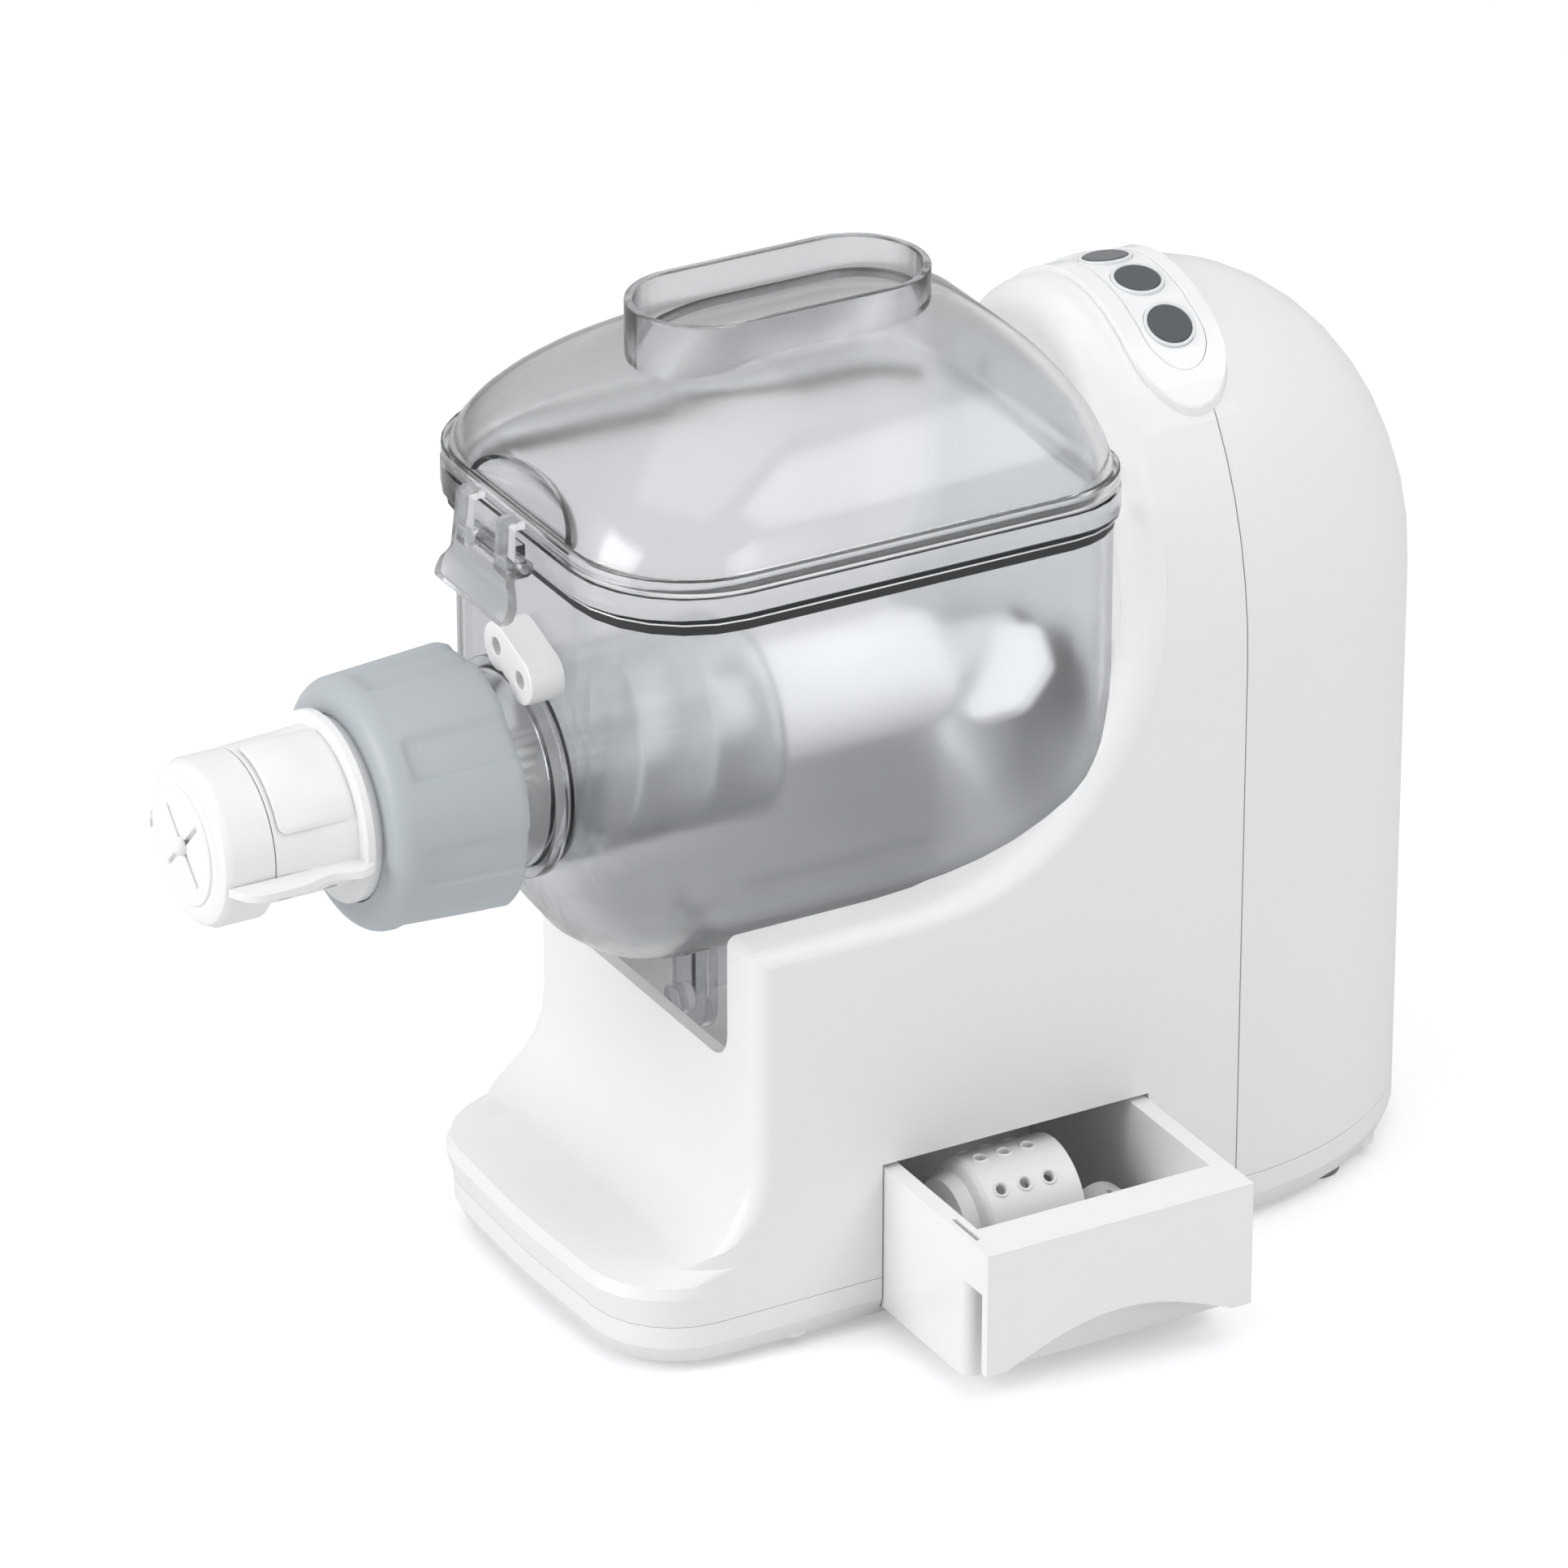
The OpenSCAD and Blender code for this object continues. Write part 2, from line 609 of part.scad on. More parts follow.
module bowl() {
    color("lightslategray", 0.5) difference() {
        union() {
            trough_form(0);
            prism_z(rim_outline(0), rim_z, joint_z);
            bar_y(neck_r, neck_end, bowl_y0 + nose_r / 2);
            bar_y(neck_flange_r, neck_flange_y - neck_flange_t, neck_flange_y);
            bar_y(neck_flange_r - clear_t, neck_flange_y, bowl_y0 + clear_t);
            block_pad();
            prism_y(concat([for (a = [180 : 15 : 360]) [lug_r * cos(a), lug_z + lug_r * sin(a)]],
                [[lug_r, lug_top], [-lug_r, lug_top]]), lug_y, lug_y + lug_t);
            bar_y(peg_r, lug_y - peg_l, lug_y + lug_t, lug_z);
            prism_x([
                [lug_y + lug_t, lug_z], [-lug_r, lug_z + lug_r],
                [-lug_r, lug_top], [lug_y + lug_t, lug_top]], -skirt_t / 2, skirt_t / 2);
            bar_x(pin_boss_r, -pin_boss_w / 2, pin_boss_w / 2, pin_y, pin_z);
            translate([-pin_boss_w / 2, pin_y, pin_z - pin_boss_r])
                cube([pin_boss_w, clear_t - pin_y + bowl_y0, 2 * pin_boss_r]);
        }
        trough_form(clear_t);
        prism_z(bowl_outline(clear_t), rim_z - over, joint_z + over);
        bar_y(barrel_r, neck_end - over, bowl_y0 + nose_r);
        bar_y(shaft_r + 2 * fit, 0, tower_y + over);
        bar_x(pin_r, -body_w / 2, body_w / 2, pin_y, pin_z);
    }
}

// Dark gasket below the rim flange
gasket_h = 3.5;
gasket_in = 1.4;
module rim_gasket() {
    color("darkslategray") difference() {
        prism_z(rim_outline(gasket_in), rim_z - gasket_h, rim_z);
        prism_z(bowl_outline(0), rim_z - gasket_h - over, rim_z + over);
        translate([-pin_boss_w / 2 - fit, -2 * rim_y, 0]) cube([pin_boss_w + 2 * fit, rim_y + nose_r, top_z]);
    }
}

// Extrusion barrel that reaches into the bowl around the screw
barrel_wall = 4;
barrel_l = 66;
barrel_y1 = bowl_y0 + clear_t + barrel_l;
module extrusion_barrel() {
    color("lightslategray", 0.5) difference() {
        bar_y(barrel_r + barrel_wall, bowl_y0 + clear_t, barrel_y1);
        bar_y(barrel_r, bowl_y0, barrel_y1 + over);
    }
}

// White block with two blind sockets beside the neck
socket_r = 2.6;
socket_depth = 8;
lobe_r = 7.2;
lobe_a = [9, 29];
lobe_reach = 42.5;
block_y0 = -157;
block_y1 = bowl_y0 - seat_gap;
function lobe(a) = [lobe_reach * sin(a), axis_z + lobe_reach * cos(a)];
module block_outline(grow) {
    for (a = lobe_a) translate(lobe(a)) circle(r = lobe_r + grow);
    mid = (lobe(lobe_a[0]) + lobe(lobe_a[1])) / 2;
    gap = norm(lobe(lobe_a[0]) - lobe(lobe_a[1]));
    translate(mid) rotate(-(lobe_a[0] + lobe_a[1]) / 2) translate([-gap / 2, -0.7 * lobe_r])
        square([gap, 1.7 * lobe_r + grow]);
}
module block_prism(y0, y1, grow) {
    translate([0, y1, 0]) rotate([90, 0, 0]) linear_extrude(y1 - y0) block_outline(grow);
}
module block_pad() { block_prism(block_y1, bowl_y0 + clear_t, -lobe_r / 8); }
module socket_block() {
    color("white") difference() {
        block_prism(block_y0, block_y1, 0);
        for (a = lobe_a) bar_y(socket_r, block_y0 - over, block_y0 + socket_depth, lobe(a)[1], lobe(a)[0]);
    }
}

// Pin of the lid latch
latch_w = 31.5;
module latch_pin() {
    color("silver") bar_x(pin_r, -latch_w / 2, latch_w / 2, pin_y, pin_z);
}

// Lid: a dome over the rim with a scoop for the latch and an oval feed chute
lid_z = joint_z + fit;
lid_flange_h = 5.5;
dome_h = 50;
dome_rise_bend = 1.8;
dome_side_bend = 1.6;
dome_front_bend = 1.64;
dome_back_bend = 2.75;
dome_front_y = -68;
dome_back_y = -44;
dome_edge = 1;
dome_rows = 8;
dome_top_a = 73;
// Plan of the dome at an angle up its side, from the rim at 0 to the ridge at 90
function dome_plan(a, inset) =
    let (x = (rim_w / 2 - dome_edge - inset) * pow(cos(a), 2 / dome_side_bend),
         y0 = -rim_y + dome_edge + inset,
         y1 = rim_back - dome_edge - inset,
         r0 = min(rim_nose_r, x - eps),
         r1 = min(rim_back_r, x - eps),
         ya = dome_front_y + (y0 - dome_front_y) * pow(cos(a), 2 / dome_front_bend),
         yb = dome_back_y + (y1 - dome_back_y) * pow(cos(a), 2 / dome_back_bend))
    plan_line(x, ya, yb, r0, r1);
function dome_z(a, inset) = lid_z + eps + (dome_h - inset) * pow(sin(a), 2 / dome_rise_bend);
module dome_form(inset) {
    n = len(dome_plan(0, 0));
    z0 = lid_z - (inset > 0 ? over : 0);
    pts = concat([for (p = dome_plan(0, inset)) [p[0], p[1], z0]],
        [for (j = [0 : dome_rows]) let (a = dome_top_a * j / dome_rows)
            each [for (p = dome_plan(a, inset)) [p[0], p[1], dome_z(a, inset)]]]);
    faces = concat([[for (i = [0 : n - 1]) i]],
        [for (j = [0 : dome_rows], i = [0 : n - 1]) let (p = j * n + i, q = j * n + (i + 1) % n)
            each [[p, p + n, q + n], [p, q + n, q]]],
        [[for (i = [n - 1 : -1 : 0]) (dome_rows + 1) * n + i]]);
    polyhedron(pts, faces);
}
chute_y = -62.3;
chute_wall = 2.5;
module chute(inset, z0, z1) {
    r = chute_w / 2 - inset;
    for (s = [-1, 1]) translate([0, chute_y + s * (chute_l - chute_w) / 2, z0]) cylinder(r = r, h = z1 - z0);
    translate([-r, chute_y - (chute_l - chute_w) / 2, z0]) cube([2 * r, chute_l - chute_w, z1 - z0]);
}
scoop_w = 29.5;
scoop_d = 14;
scoop_h = 13.5;
scoop_y = -rim_y - scoop_d / 7;
module scoop(grow) {
    translate([0, scoop_y, lid_z + lid_flange_h - grow]) difference() {
        scale([(scoop_w + grow) / scoop_w, (scoop_d + grow) / scoop_w, (scoop_h + grow) / scoop_w])
            sphere(scoop_w, $fn = 40);
        translate([-2 * scoop_w, -2 * scoop_w, -4 * scoop_w]) cube(4 * scoop_w);
    }
}
module lid() {
    color("lightslategray", 0.5) difference() {
        union() {
            difference() {
                union() {
                    dome_form(0);
                    prism_z(rim_outline(fit), lid_z, lid_z + lid_flange_h);
                }
                scoop(0);
            }
            difference() {
                chute(0, lid_z + dome_h / 2, joint_z + chute_h);
                dome_form(clear_t);
            }
            prism_z(bowl_outline(clear_t + fit), lid_z - clear_t, lid_z + fit);
        }
        difference() {
            union() {
                dome_form(clear_t);
                prism_z(bowl_outline(2 * clear_t + fit), lid_z - clear_t - over, lid_z + clear_t);
            }
            scoop(clear_t);
        }
        chute(chute_wall, lid_z + dome_h / 3, joint_z + chute_h + over);
    }
}

// Latch with two hooked arms and a flared finger tab
arm_w = 7;
arm_t = 2.8;
hook_t = 2.6;
hook_y = -151.6;
hook_z = lid_z + lid_flange_h + fit;
latch_y = -154.6;
latch_barrel_r = 2.6;
window_z = 240;
waist_z = 236;
waist_slope = 1.4;
tab_w = 41;
tab_z = 227;
tab_out = 5.5;
tab_r = 8;
latch_edge = 1;
waist_below = 3;
waist_above = 2;
waist_r = 4;
// Side view of the latch, from the hook down to the tab that flares outwards
function latch_side(out_y) = rounded([
    [hook_y, hook_z], [hook_y, hook_z + hook_t], [out_y, hook_z + hook_t, hook_t],
    [out_y - waist_slope, waist_z, tab_r], [out_y - tab_out, tab_z + latch_edge, latch_edge],
    [latch_y - tab_out + latch_edge, tab_z, latch_edge],
    [latch_y - waist_slope, waist_z + latch_edge, tab_r], [latch_y, hook_z, latch_edge]]);
// Front view of the latch: a wide tab, a waist and two straight sides
function latch_front() = let (side = [
        [tab_w / 2, tab_z, tab_r / 2], [tab_w / 2, waist_z - waist_below, waist_below],
        [latch_w / 2 + latch_edge, waist_z + waist_above, waist_r],
        [latch_w / 2 - latch_edge, hook_z + 2 * hook_t]])
    rounded(concat(side, [for (i = [3 : -1 : 0]) let (p = side[i])
        len(p) > 2 ? [-p[0], p[1], p[2]] : [-p[0], p[1]]]));
module lid_latch() {
    out_y = latch_y - arm_t;
    color("lightslategray", 0.5) difference() {
        union() {
            intersection() {
                prism_x(latch_side(out_y), -tab_w / 2, tab_w / 2);
                prism_y(latch_front(), -2 * rim_y, 0);
            }
            for (s = [-1, 1]) translate([s * (latch_w - arm_w) / 2 - arm_w / 2, pin_y, pin_z]) {
                rotate([0, 90, 0]) cylinder(r = latch_barrel_r, h = arm_w);
                translate([0, latch_y - pin_y - waist_slope, -latch_barrel_r])
                    cube([arm_w, pin_y - latch_y + waist_slope, 2 * latch_barrel_r]);
            }
        }
        translate([-latch_w / 2 + arm_w, -2 * rim_y, window_z])
            cube([latch_w - 2 * arm_w, 2 * rim_y, dome_h]);
        translate([-latch_w / 2 + arm_w, pin_y - pin_boss_r - fit, tab_z])
            cube([latch_w - 2 * arm_w, pin_boss_r, dome_h]);
        bar_x(pin_r + running, -body_w / 2, body_w / 2, pin_y, pin_z);
    }
}

// Lock ring that clamps the die on the neck
ring_front_r = 37;
ring_lip = 2.2;
lip_r = 27.4;
flute_n = 8;
flute_d = 0.9;
flute_r = 14;
ring_front_bevel = 5;
ring_front_edge = 1.6;
ring_front_l = 6;
ring_rear_edge = 1.5;
module lock_ring() {
    color("lightsteelblue") difference() {
        turned_y([
            [lip_r, ring_y0], [ring_front_r - ring_front_bevel, ring_y0],
            [ring_front_r - ring_front_edge, ring_y0 + ring_front_edge],
            [ring_front_r, ring_y0 + ring_front_l],
            [ring_r, ring_y1 - ring_rear_edge], [ring_r - ring_rear_edge, ring_y1], [neck_r + fit, ring_y1],
            [neck_r + fit, ring_y0 + ring_lip], [lip_r, ring_y0 + ring_lip]]);
        for (i = [0 : flute_n - 1]) translate([0, 0, axis_z]) rotate([0, 360 * (i + 0.5) / flute_n, 0])
            translate([0, ring_y1 + over, ring_r + flute_r - flute_d]) rotate([90, 0, 0])
                cylinder(r = flute_r, h = ring_l - ring_front_l);
    }
}

// Round die with shaped openings, held by its flange inside the lock ring
drum_wall = 3;
drum_flange_r = 28.6;
drum_base_r = 27;
cap_r = 24.5;
cap_l = 17;
cap_y0 = ring_y0 - nozzle_l;
drum_hole_r = 2.2;
drum_hole_rows = 2;
drum_hole_n = 6;
drum_hole_a = 20;
drum_hole_first = 10;
drum_hole_pitch = 14;
drum_collar_l = 3;
module die_drum() {
    color("white") difference() {
        turned_y([
            [drum_r - drum_wall, cap_y0 + cap_l / 2], [drum_r, cap_y0 + cap_l / 2],
            [drum_r, ring_y0 - drum_collar_l],
            [drum_base_r, ring_y0 - drum_collar_l], [drum_base_r, ring_y0 + ring_lip + fit],
            [drum_flange_r, ring_y0 + ring_lip + fit], [drum_flange_r, neck_end - seat],
            [drum_r - drum_wall, neck_end - seat]]);
        for (j = [0 : drum_hole_rows - 1], i = [0 : drum_hole_n - 1])
            translate([0, ring_y0 - drum_hole_first - j * drum_hole_pitch, axis_z])
                rotate([0, 90 + drum_hole_a * (i + 0.5), 0])
                translate([0, 0, drum_r - 2 * drum_wall]) cylinder(r = drum_hole_r, h = 3 * drum_wall);
    }
}
// Cap over the die's end, with a raised face and two crossed slots
cap_slot_w = 1.4;
cap_slot_l = 13;
cap_slot_d = 1.6;
cap_face_in = 7;
cap_face_h = 0.8;
cap_step_in = 4;
cap_edge_in = 1.2;
cap_edge_h = 2.2;
cap_side_h = 5;
cap_button_r = 2.8;
module nozzle_cap() {
    color("white") difference() {
        turned_y([
            [0, cap_y0], [cap_r - cap_face_in, cap_y0], [cap_r - cap_face_in, cap_y0 + cap_face_h],
            [cap_r - cap_step_in, cap_y0 + cap_face_h], [cap_r - cap_edge_in, cap_y0 + cap_edge_h],
            [cap_r, cap_y0 + cap_side_h], [cap_r, cap_y0 + cap_l], [drum_r + seat, cap_y0 + cap_l],
            [drum_r + seat, cap_y0 + cap_l / 2 - seat], [0, cap_y0 + cap_l / 2 - seat]]);
        for (a = [45, 135]) translate([0, cap_y0 - over, axis_z]) rotate([0, a, 0])
            translate([-cap_slot_w / 2, 0, -cap_slot_l])
                cube([cap_slot_w, over + cap_slot_d, 2 * cap_slot_l]);
    }
}
module cap_button() {
    color("white") translate([0, cap_y0 - seat, axis_z]) intersection() {
        sphere(cap_button_r, $fn = 32);
        translate([-cap_button_r, -2 * cap_button_r, -cap_button_r]) cube(2 * cap_button_r);
    }
}

// Half sleeve that turns around the die and opens one row of holes
sleeve_r = drum_r + fit;
sleeve_out = 25.6;
sleeve_y0 = cap_y0 + cap_l + fit;
sleeve_y1 = ring_y0 - drum_collar_l - fit;
sleeve_flange_r = 29.5;
sleeve_flange_t = 2.4;
wing_x = 33;
wing_t = 2.4;
wing_z = 168;
sleeve_taper = 1;
sleeve_flange_rise = 3;
wing_tip = 2;
wing_horn_y = 6;
wing_waist = 3;
wing_waist_y = 14;
wing_broad_y = 24;
module cutter_sleeve() {
    color("white") {
        difference() {
            turned_y([
                [sleeve_r, sleeve_y0], [sleeve_out - sleeve_taper, sleeve_y0],
                [sleeve_out, sleeve_y1 - sleeve_flange_rise], [sleeve_flange_r, sleeve_y1 - sleeve_flange_t],
                [sleeve_flange_r, sleeve_y1], [sleeve_r, sleeve_y1]]);
            translate([-2 * sleeve_out, sleeve_y0 - over, wing_z - 4 * sleeve_out])
                cube([4 * sleeve_out, nozzle_l, 4 * sleeve_out]);
        }
        for (s = [0, 1]) mirror([s, 0, 0]) wing();
    }
}
module wing() {
    difference() {
        prism_z(rounded([
            [cap_r + fit, sleeve_y1], [wing_x - wing_tip, sleeve_y1 - wing_tip / 2, wing_tip / 2],
            [wing_x, sleeve_y1 - wing_horn_y, wing_tip],
            [wing_x - wing_waist, sleeve_y1 - wing_waist_y, 2 * wing_waist],
            [wing_x, sleeve_y1 - wing_broad_y, wing_broad_y / 2.4],
            [wing_x, cap_y0 + wing_horn_y, 4 * wing_tip],
            [cap_r + fit, cap_y0 + wing_tip]]), wing_z, wing_z + wing_t);
        bar_y(sleeve_r, sleeve_y0 - over, sleeve_y1 + over);
    }
}

// Shaft through bowl and tower, flattened where screw and paddle sit
shaft_y0 = -110;
shaft_y1 = 72;
drive_flat = 8;
module drive_shaft() {
    color("silver") difference() {
        bar_y(shaft_r, shaft_y0, shaft_y1);
        for (s = [0, 1]) mirror([s, 0, 0]) translate([drive_flat / 2, shaft_y0 - over, axis_z - shaft_r])
            cube([shaft_r, collar_y1 + 2 * over - shaft_y0, 2 * shaft_r]);
    }
}
// Paddle with a thick hub and two tilted leaf blades behind it
hub_r = 17.5;
hub_y0 = -75;
hub_y1 = -10;
hub_round = 7;
collar_r = 10;
collar_y1 = 14;
paddle_r = 42;
blade_w = 34;
blade_t = 3;
blade_tilt = 45;
blade_rest = 10;
blade_y = -1;
blade_root_share = 0.35;
blade_broad_share = 0.62;
blade_tip_share = 0.22;
module shaft_socket(y0, y1) {
    intersection() {
        bar_y(shaft_r + running, y0, y1);
        translate([-drive_flat / 2 - running, y0, 0]) cube([drive_flat + 2 * running, y1 - y0, top_z]);
    }
}
module blade() {
    half = blade_w / 2;
    tip = blade_tip_share * blade_w;
    root = blade_root_share * blade_w;
    broad = blade_broad_share * paddle_r;
    leaf = [
        [collar_r / 2, -root], [broad, -half, blade_w / 3], [paddle_r, -tip, blade_w / 6],
        [paddle_r, tip, blade_w / 6], [broad, half, blade_w / 3], [collar_r / 2, root]];
    translate([0, blade_y, 0]) rotate([blade_tilt, 0, 0]) prism_z(rounded(leaf), -blade_t / 2, blade_t / 2);
}
module mixing_paddle() {
    color("white") difference() {
        union() {
            turned_y(concat([[0, hub_y0]],
                corner([0, hub_y0], [hub_r, hub_y0], [hub_r, hub_y1], hub_round / 3),
                corner([hub_r, hub_y0], [hub_r, hub_y1], [0, hub_y1], hub_round), [[0, hub_y1]]));
            bar_y(collar_r, hub_y1 - hub_round, collar_y1);
            for (a = [0, 180]) translate([0, 0, axis_z]) rotate([0, a - blade_rest, 0]) blade();
        }
        shaft_socket(hub_y0 - over, collar_y1 + over);
    }
}
// Extruder screw: a core with one helical flight
core_r = 10;
screw_y0 = -194;
screw_y1 = hub_y0 - seat;
flight_t = 4;
flight_step = 20;
flight_root_share = 1.2;
flight_tip_share = 0.6;
module flight(y0, y1) {
    r = barrel_r - screw_gap;
    root_a = 180 * flight_t * flight_root_share / screw_pitch;
    tip_a = 180 * flight_t * flight_tip_share / screw_pitch;
    sector = concat([[0, 0], (core_r - 1) * [cos(-root_a), sin(-root_a)]],
        [for (a = [-tip_a, 0, tip_a]) r * [cos(a), sin(a)]], [(core_r - 1) * [cos(root_a), sin(root_a)]]);
    translate([0, y0, axis_z]) rotate([-90, 0, 0])
        linear_extrude(y1 - y0, twist = 360 * (y1 - y0) / screw_pitch, $fn = len(sector),
            slices = round(360 * (y1 - y0) / screw_pitch / flight_step)) polygon(sector);
}
module extruder_screw() {
    color("whitesmoke") difference() {
        union() {
            bar_y(core_r, screw_y0, screw_y1);
            flight(screw_y0 + fit, screw_y1 - fit);
        }
        shaft_socket(shaft_y0 - fit, screw_y1 + over);
    }
}
// Seal and bush in the tower wall
seal_r = 10;
seal_h = 1.4;
module shaft_seal() {
    color("gray") difference() {
        bar_y(seal_r, face_y, face_y + seal_h);
        bar_y(shaft_r + running, face_y - over, face_y + 2 * seal_h);
    }
}
bush_y0 = tower_y + 2 * wall;
bush_l = 4;
bush_r = 9;
module main_bush() {
    color("goldenrod") difference() {
        union() {
            bar_y(bush_r, bush_y0, bush_y0 + bush_l);
            bar_y(shaft_r + 4 * fit - seat, face_y + seal_h + seat, bush_y0 + eps);
        }
        bar_y(shaft_r + running, 0, bush_y0 + 2 * bush_l);
    }
}

// Involute gear in the XZ plane about a point at height z, from y0 to y1
pressure = 20;
tip_share = 0.8;
root_share = 1.1;
backlash = 0.12;
flank_steps = 2;
function involute_angle(rb, r) = let (t = sqrt(max(pow(r / rb, 2) - 1, 0))) t * 180 / PI - atan(t);
function gear_outline(m, n, phase) =
    let (rp = m * n / 2, rb = rp * cos(pressure), rt = rp + tip_share * m, rr = rp - root_share * m,
         half = 90 / n + involute_angle(rb, rp) - backlash / (2 * rp) * 180 / PI, rs = max(rb, rr))
    [for (k = [0 : n - 1]) let (c = phase + 360 * k / n)
        each concat([[rr, c - half]],
            [for (i = [0 : flank_steps]) let (r = rs + (rt - rs) * i / flank_steps)
                [r, c - half + involute_angle(rb, r)]],
            [for (i = [flank_steps : -1 : 0]) let (r = rs + (rt - rs) * i / flank_steps)
                [r, c + half - involute_angle(rb, r)]],
            [[rr, c + half]])];
module gear(m, n, z, y0, y1, phase) {
    translate([0, y1, z]) rotate([90, 0, 0]) linear_extrude(y1 - y0)
        polygon([for (p = gear_outline(m, n, phase)) [p[0] * cos(p[1]), p[0] * sin(p[1])]]);
}
pinion1_n = 13;
wheel1_n = 52;
pinion2_n = 14;
wheel2_n = 56;
compound_z = axis_z - gear_m2 * (pinion2_n + wheel2_n) / 2;
motor_z = compound_z - gear_m1 * (pinion1_n + wheel1_n) / 2;
stage2_y0 = 47;
stage2_y1 = 55;
stage1_y0 = 58;
stage1_y1 = 64;
stud_r = 2.5;
// Gearbox: two plates joined by posts, with a stud for the compound gear
plate_t = 2.5;
case_y0 = bush_y0 + bush_l + fit;
case_y1 = 71;
case_w = 78;
post_r = 4;
case_below = 36;
case_above = 38;
case_low_r = 8;
case_high_r = 20;
post_below = 32;
post_above = 29;
post_high_share = 2.4;
module case_plate(y0, y1) {
    z0 = motor_z - case_below;
    z1 = axis_z + case_above;
    prism_y(rounded([
        [-case_w / 2, z0, case_low_r], [case_w / 2, z0, case_low_r],
        [case_w / 2, z1, case_high_r], [-case_w / 2, z1, case_high_r]]), y0, y1);
}
module gearbox_case() {
    color("dimgray") difference() {
        union() {
            case_plate(case_y0, case_y0 + plate_t);
            case_plate(case_y1 - plate_t, case_y1);
            for (s = [-1, 1]) {
                bar_y(post_r, case_y0, case_y1, motor_z - post_below, s * (case_w / 2 - post_r));
                bar_y(post_r, case_y0, case_y1, axis_z + post_above,
                    s * (case_w / 2 - post_high_share * post_r));
            }
            bar_y(stud_r, case_y0, case_y1, compound_z);
        }
        bar_y(shaft_r + running, tower_y, case_y1 + over);
        bar_y(rotor_r + running, case_y1 - 2 * plate_t, case_y1 + over, motor_z);
    }
}
gear_hub_r = 12;
gear_hub_l = 8;
web_hole_n = 6;
web_hole_r = 6;
web_hole_at = 23;
module output_gear() {
    color("khaki") difference() {
        union() {
            gear(gear_m2, wheel2_n, axis_z, stage2_y0, stage2_y1, 90 + 180 / wheel2_n);
            bar_y(gear_hub_r, stage2_y1 - eps, stage2_y1 + gear_hub_l);
        }
        bar_y(shaft_r + running, 0, 2 * seam_y);
        for (i = [0 : web_hole_n - 1]) translate([0, 0, axis_z]) rotate([0, 360 * i / web_hole_n, 0])
            bar_y(web_hole_r, 0, 2 * seam_y, web_hole_at);
    }
}
module compound_gear() {
    color("khaki") difference() {
        union() {
            gear(gear_m2, pinion2_n, compound_z, stage2_y0, stage1_y0 + eps, 90);
            gear(gear_m1, wheel1_n, compound_z, stage1_y0, stage1_y1, 90 + 180 / wheel1_n);
        }
        bar_y(stud_r + running, 0, 2 * seam_y, compound_z);
    }
}
// Motor: case with end bell, rotor with pinion, and a fan behind
motor_r = 25.5;
motor_y0 = case_y1 + fit;
motor_l = 44;
motor_y1 = motor_y0 + motor_l;
motor_stack = 52;
stack_y = 8;
stack_l = 26;
air_hole_n = 6;
air_hole_r = 3.5;
air_hole_at = 13;
rotor_r = 3;
rotor_tail = 12;
module motor_case() {
    color("silver") difference() {
        union() {
            bar_y(motor_r, motor_y0, motor_y1, motor_z);
            translate([-motor_stack / 2, motor_y0 + stack_y, motor_z - motor_stack / 2])
                cube([motor_stack, stack_l, motor_stack]);
        }
        bar_y(motor_r - 2 * wall, motor_y0 + wall, motor_y1 - wall, motor_z);
        bar_y(rotor_r + running, 0, 2 * rear_y, motor_z);
        for (i = [0 : air_hole_n - 1]) translate([0, 0, motor_z]) rotate([0, 360 * i / air_hole_n, 0])
            bar_y(air_hole_r, motor_y1 - 2 * wall, motor_y1 + over, air_hole_at);
    }
}
module motor_rotor() {
    color("darkgray") {
        bar_y(rotor_r, stage1_y0, motor_y1 + rotor_tail, motor_z);
        gear(gear_m1, pinion1_n, motor_z, stage1_y0, stage1_y1, 90);
        bar_y(motor_r - 3 * wall, motor_y0 + 2 * wall, motor_y1 - 2 * wall, motor_z);
    }
}
fan_r = 22;
fan_n = 9;
fan_y0 = motor_y1 + 1;
fan_l = 9;
fan_hub_r = 8;
fan_disc_t = 1.5;
fan_blade_y = 1;
fan_blade_l = 7;
fan_blade_t = 1.2;
fan_root = 6;
module motor_fan() {
    color("gainsboro") difference() {
        union() {
            bar_y(fan_hub_r, fan_y0, fan_y0 + fan_l, motor_z);
            bar_y(fan_r, fan_y0, fan_y0 + fan_disc_t, motor_z);
            for (i = [0 : fan_n - 1]) translate([0, fan_y0, motor_z]) rotate([0, 360 * i / fan_n, 0])
                translate([fan_root, fan_blade_y, -fan_blade_t / 2])
                    cube([fan_r - fan_root, fan_blade_l, fan_blade_t]);
        }
        bar_y(rotor_r + running, 0, 2 * rear_y, motor_z);
    }
}
// Saddle on the tray that carries the motor
saddle_y = 10;
saddle_l = 22;
module motor_saddle() {
    z0 = tray_lift + wall / 2;
    difference() {
        translate([-motor_r, motor_y0 + saddle_y, z0])
            cube([2 * motor_r, saddle_l, motor_z - motor_stack / 2 - z0 - fit]);
        translate([-motor_r + wall, motor_y0, tray_lift + wall])
            cube([2 * motor_r - 2 * wall, motor_l, motor_z - motor_stack / 2 - 3 * wall]);
    }
}

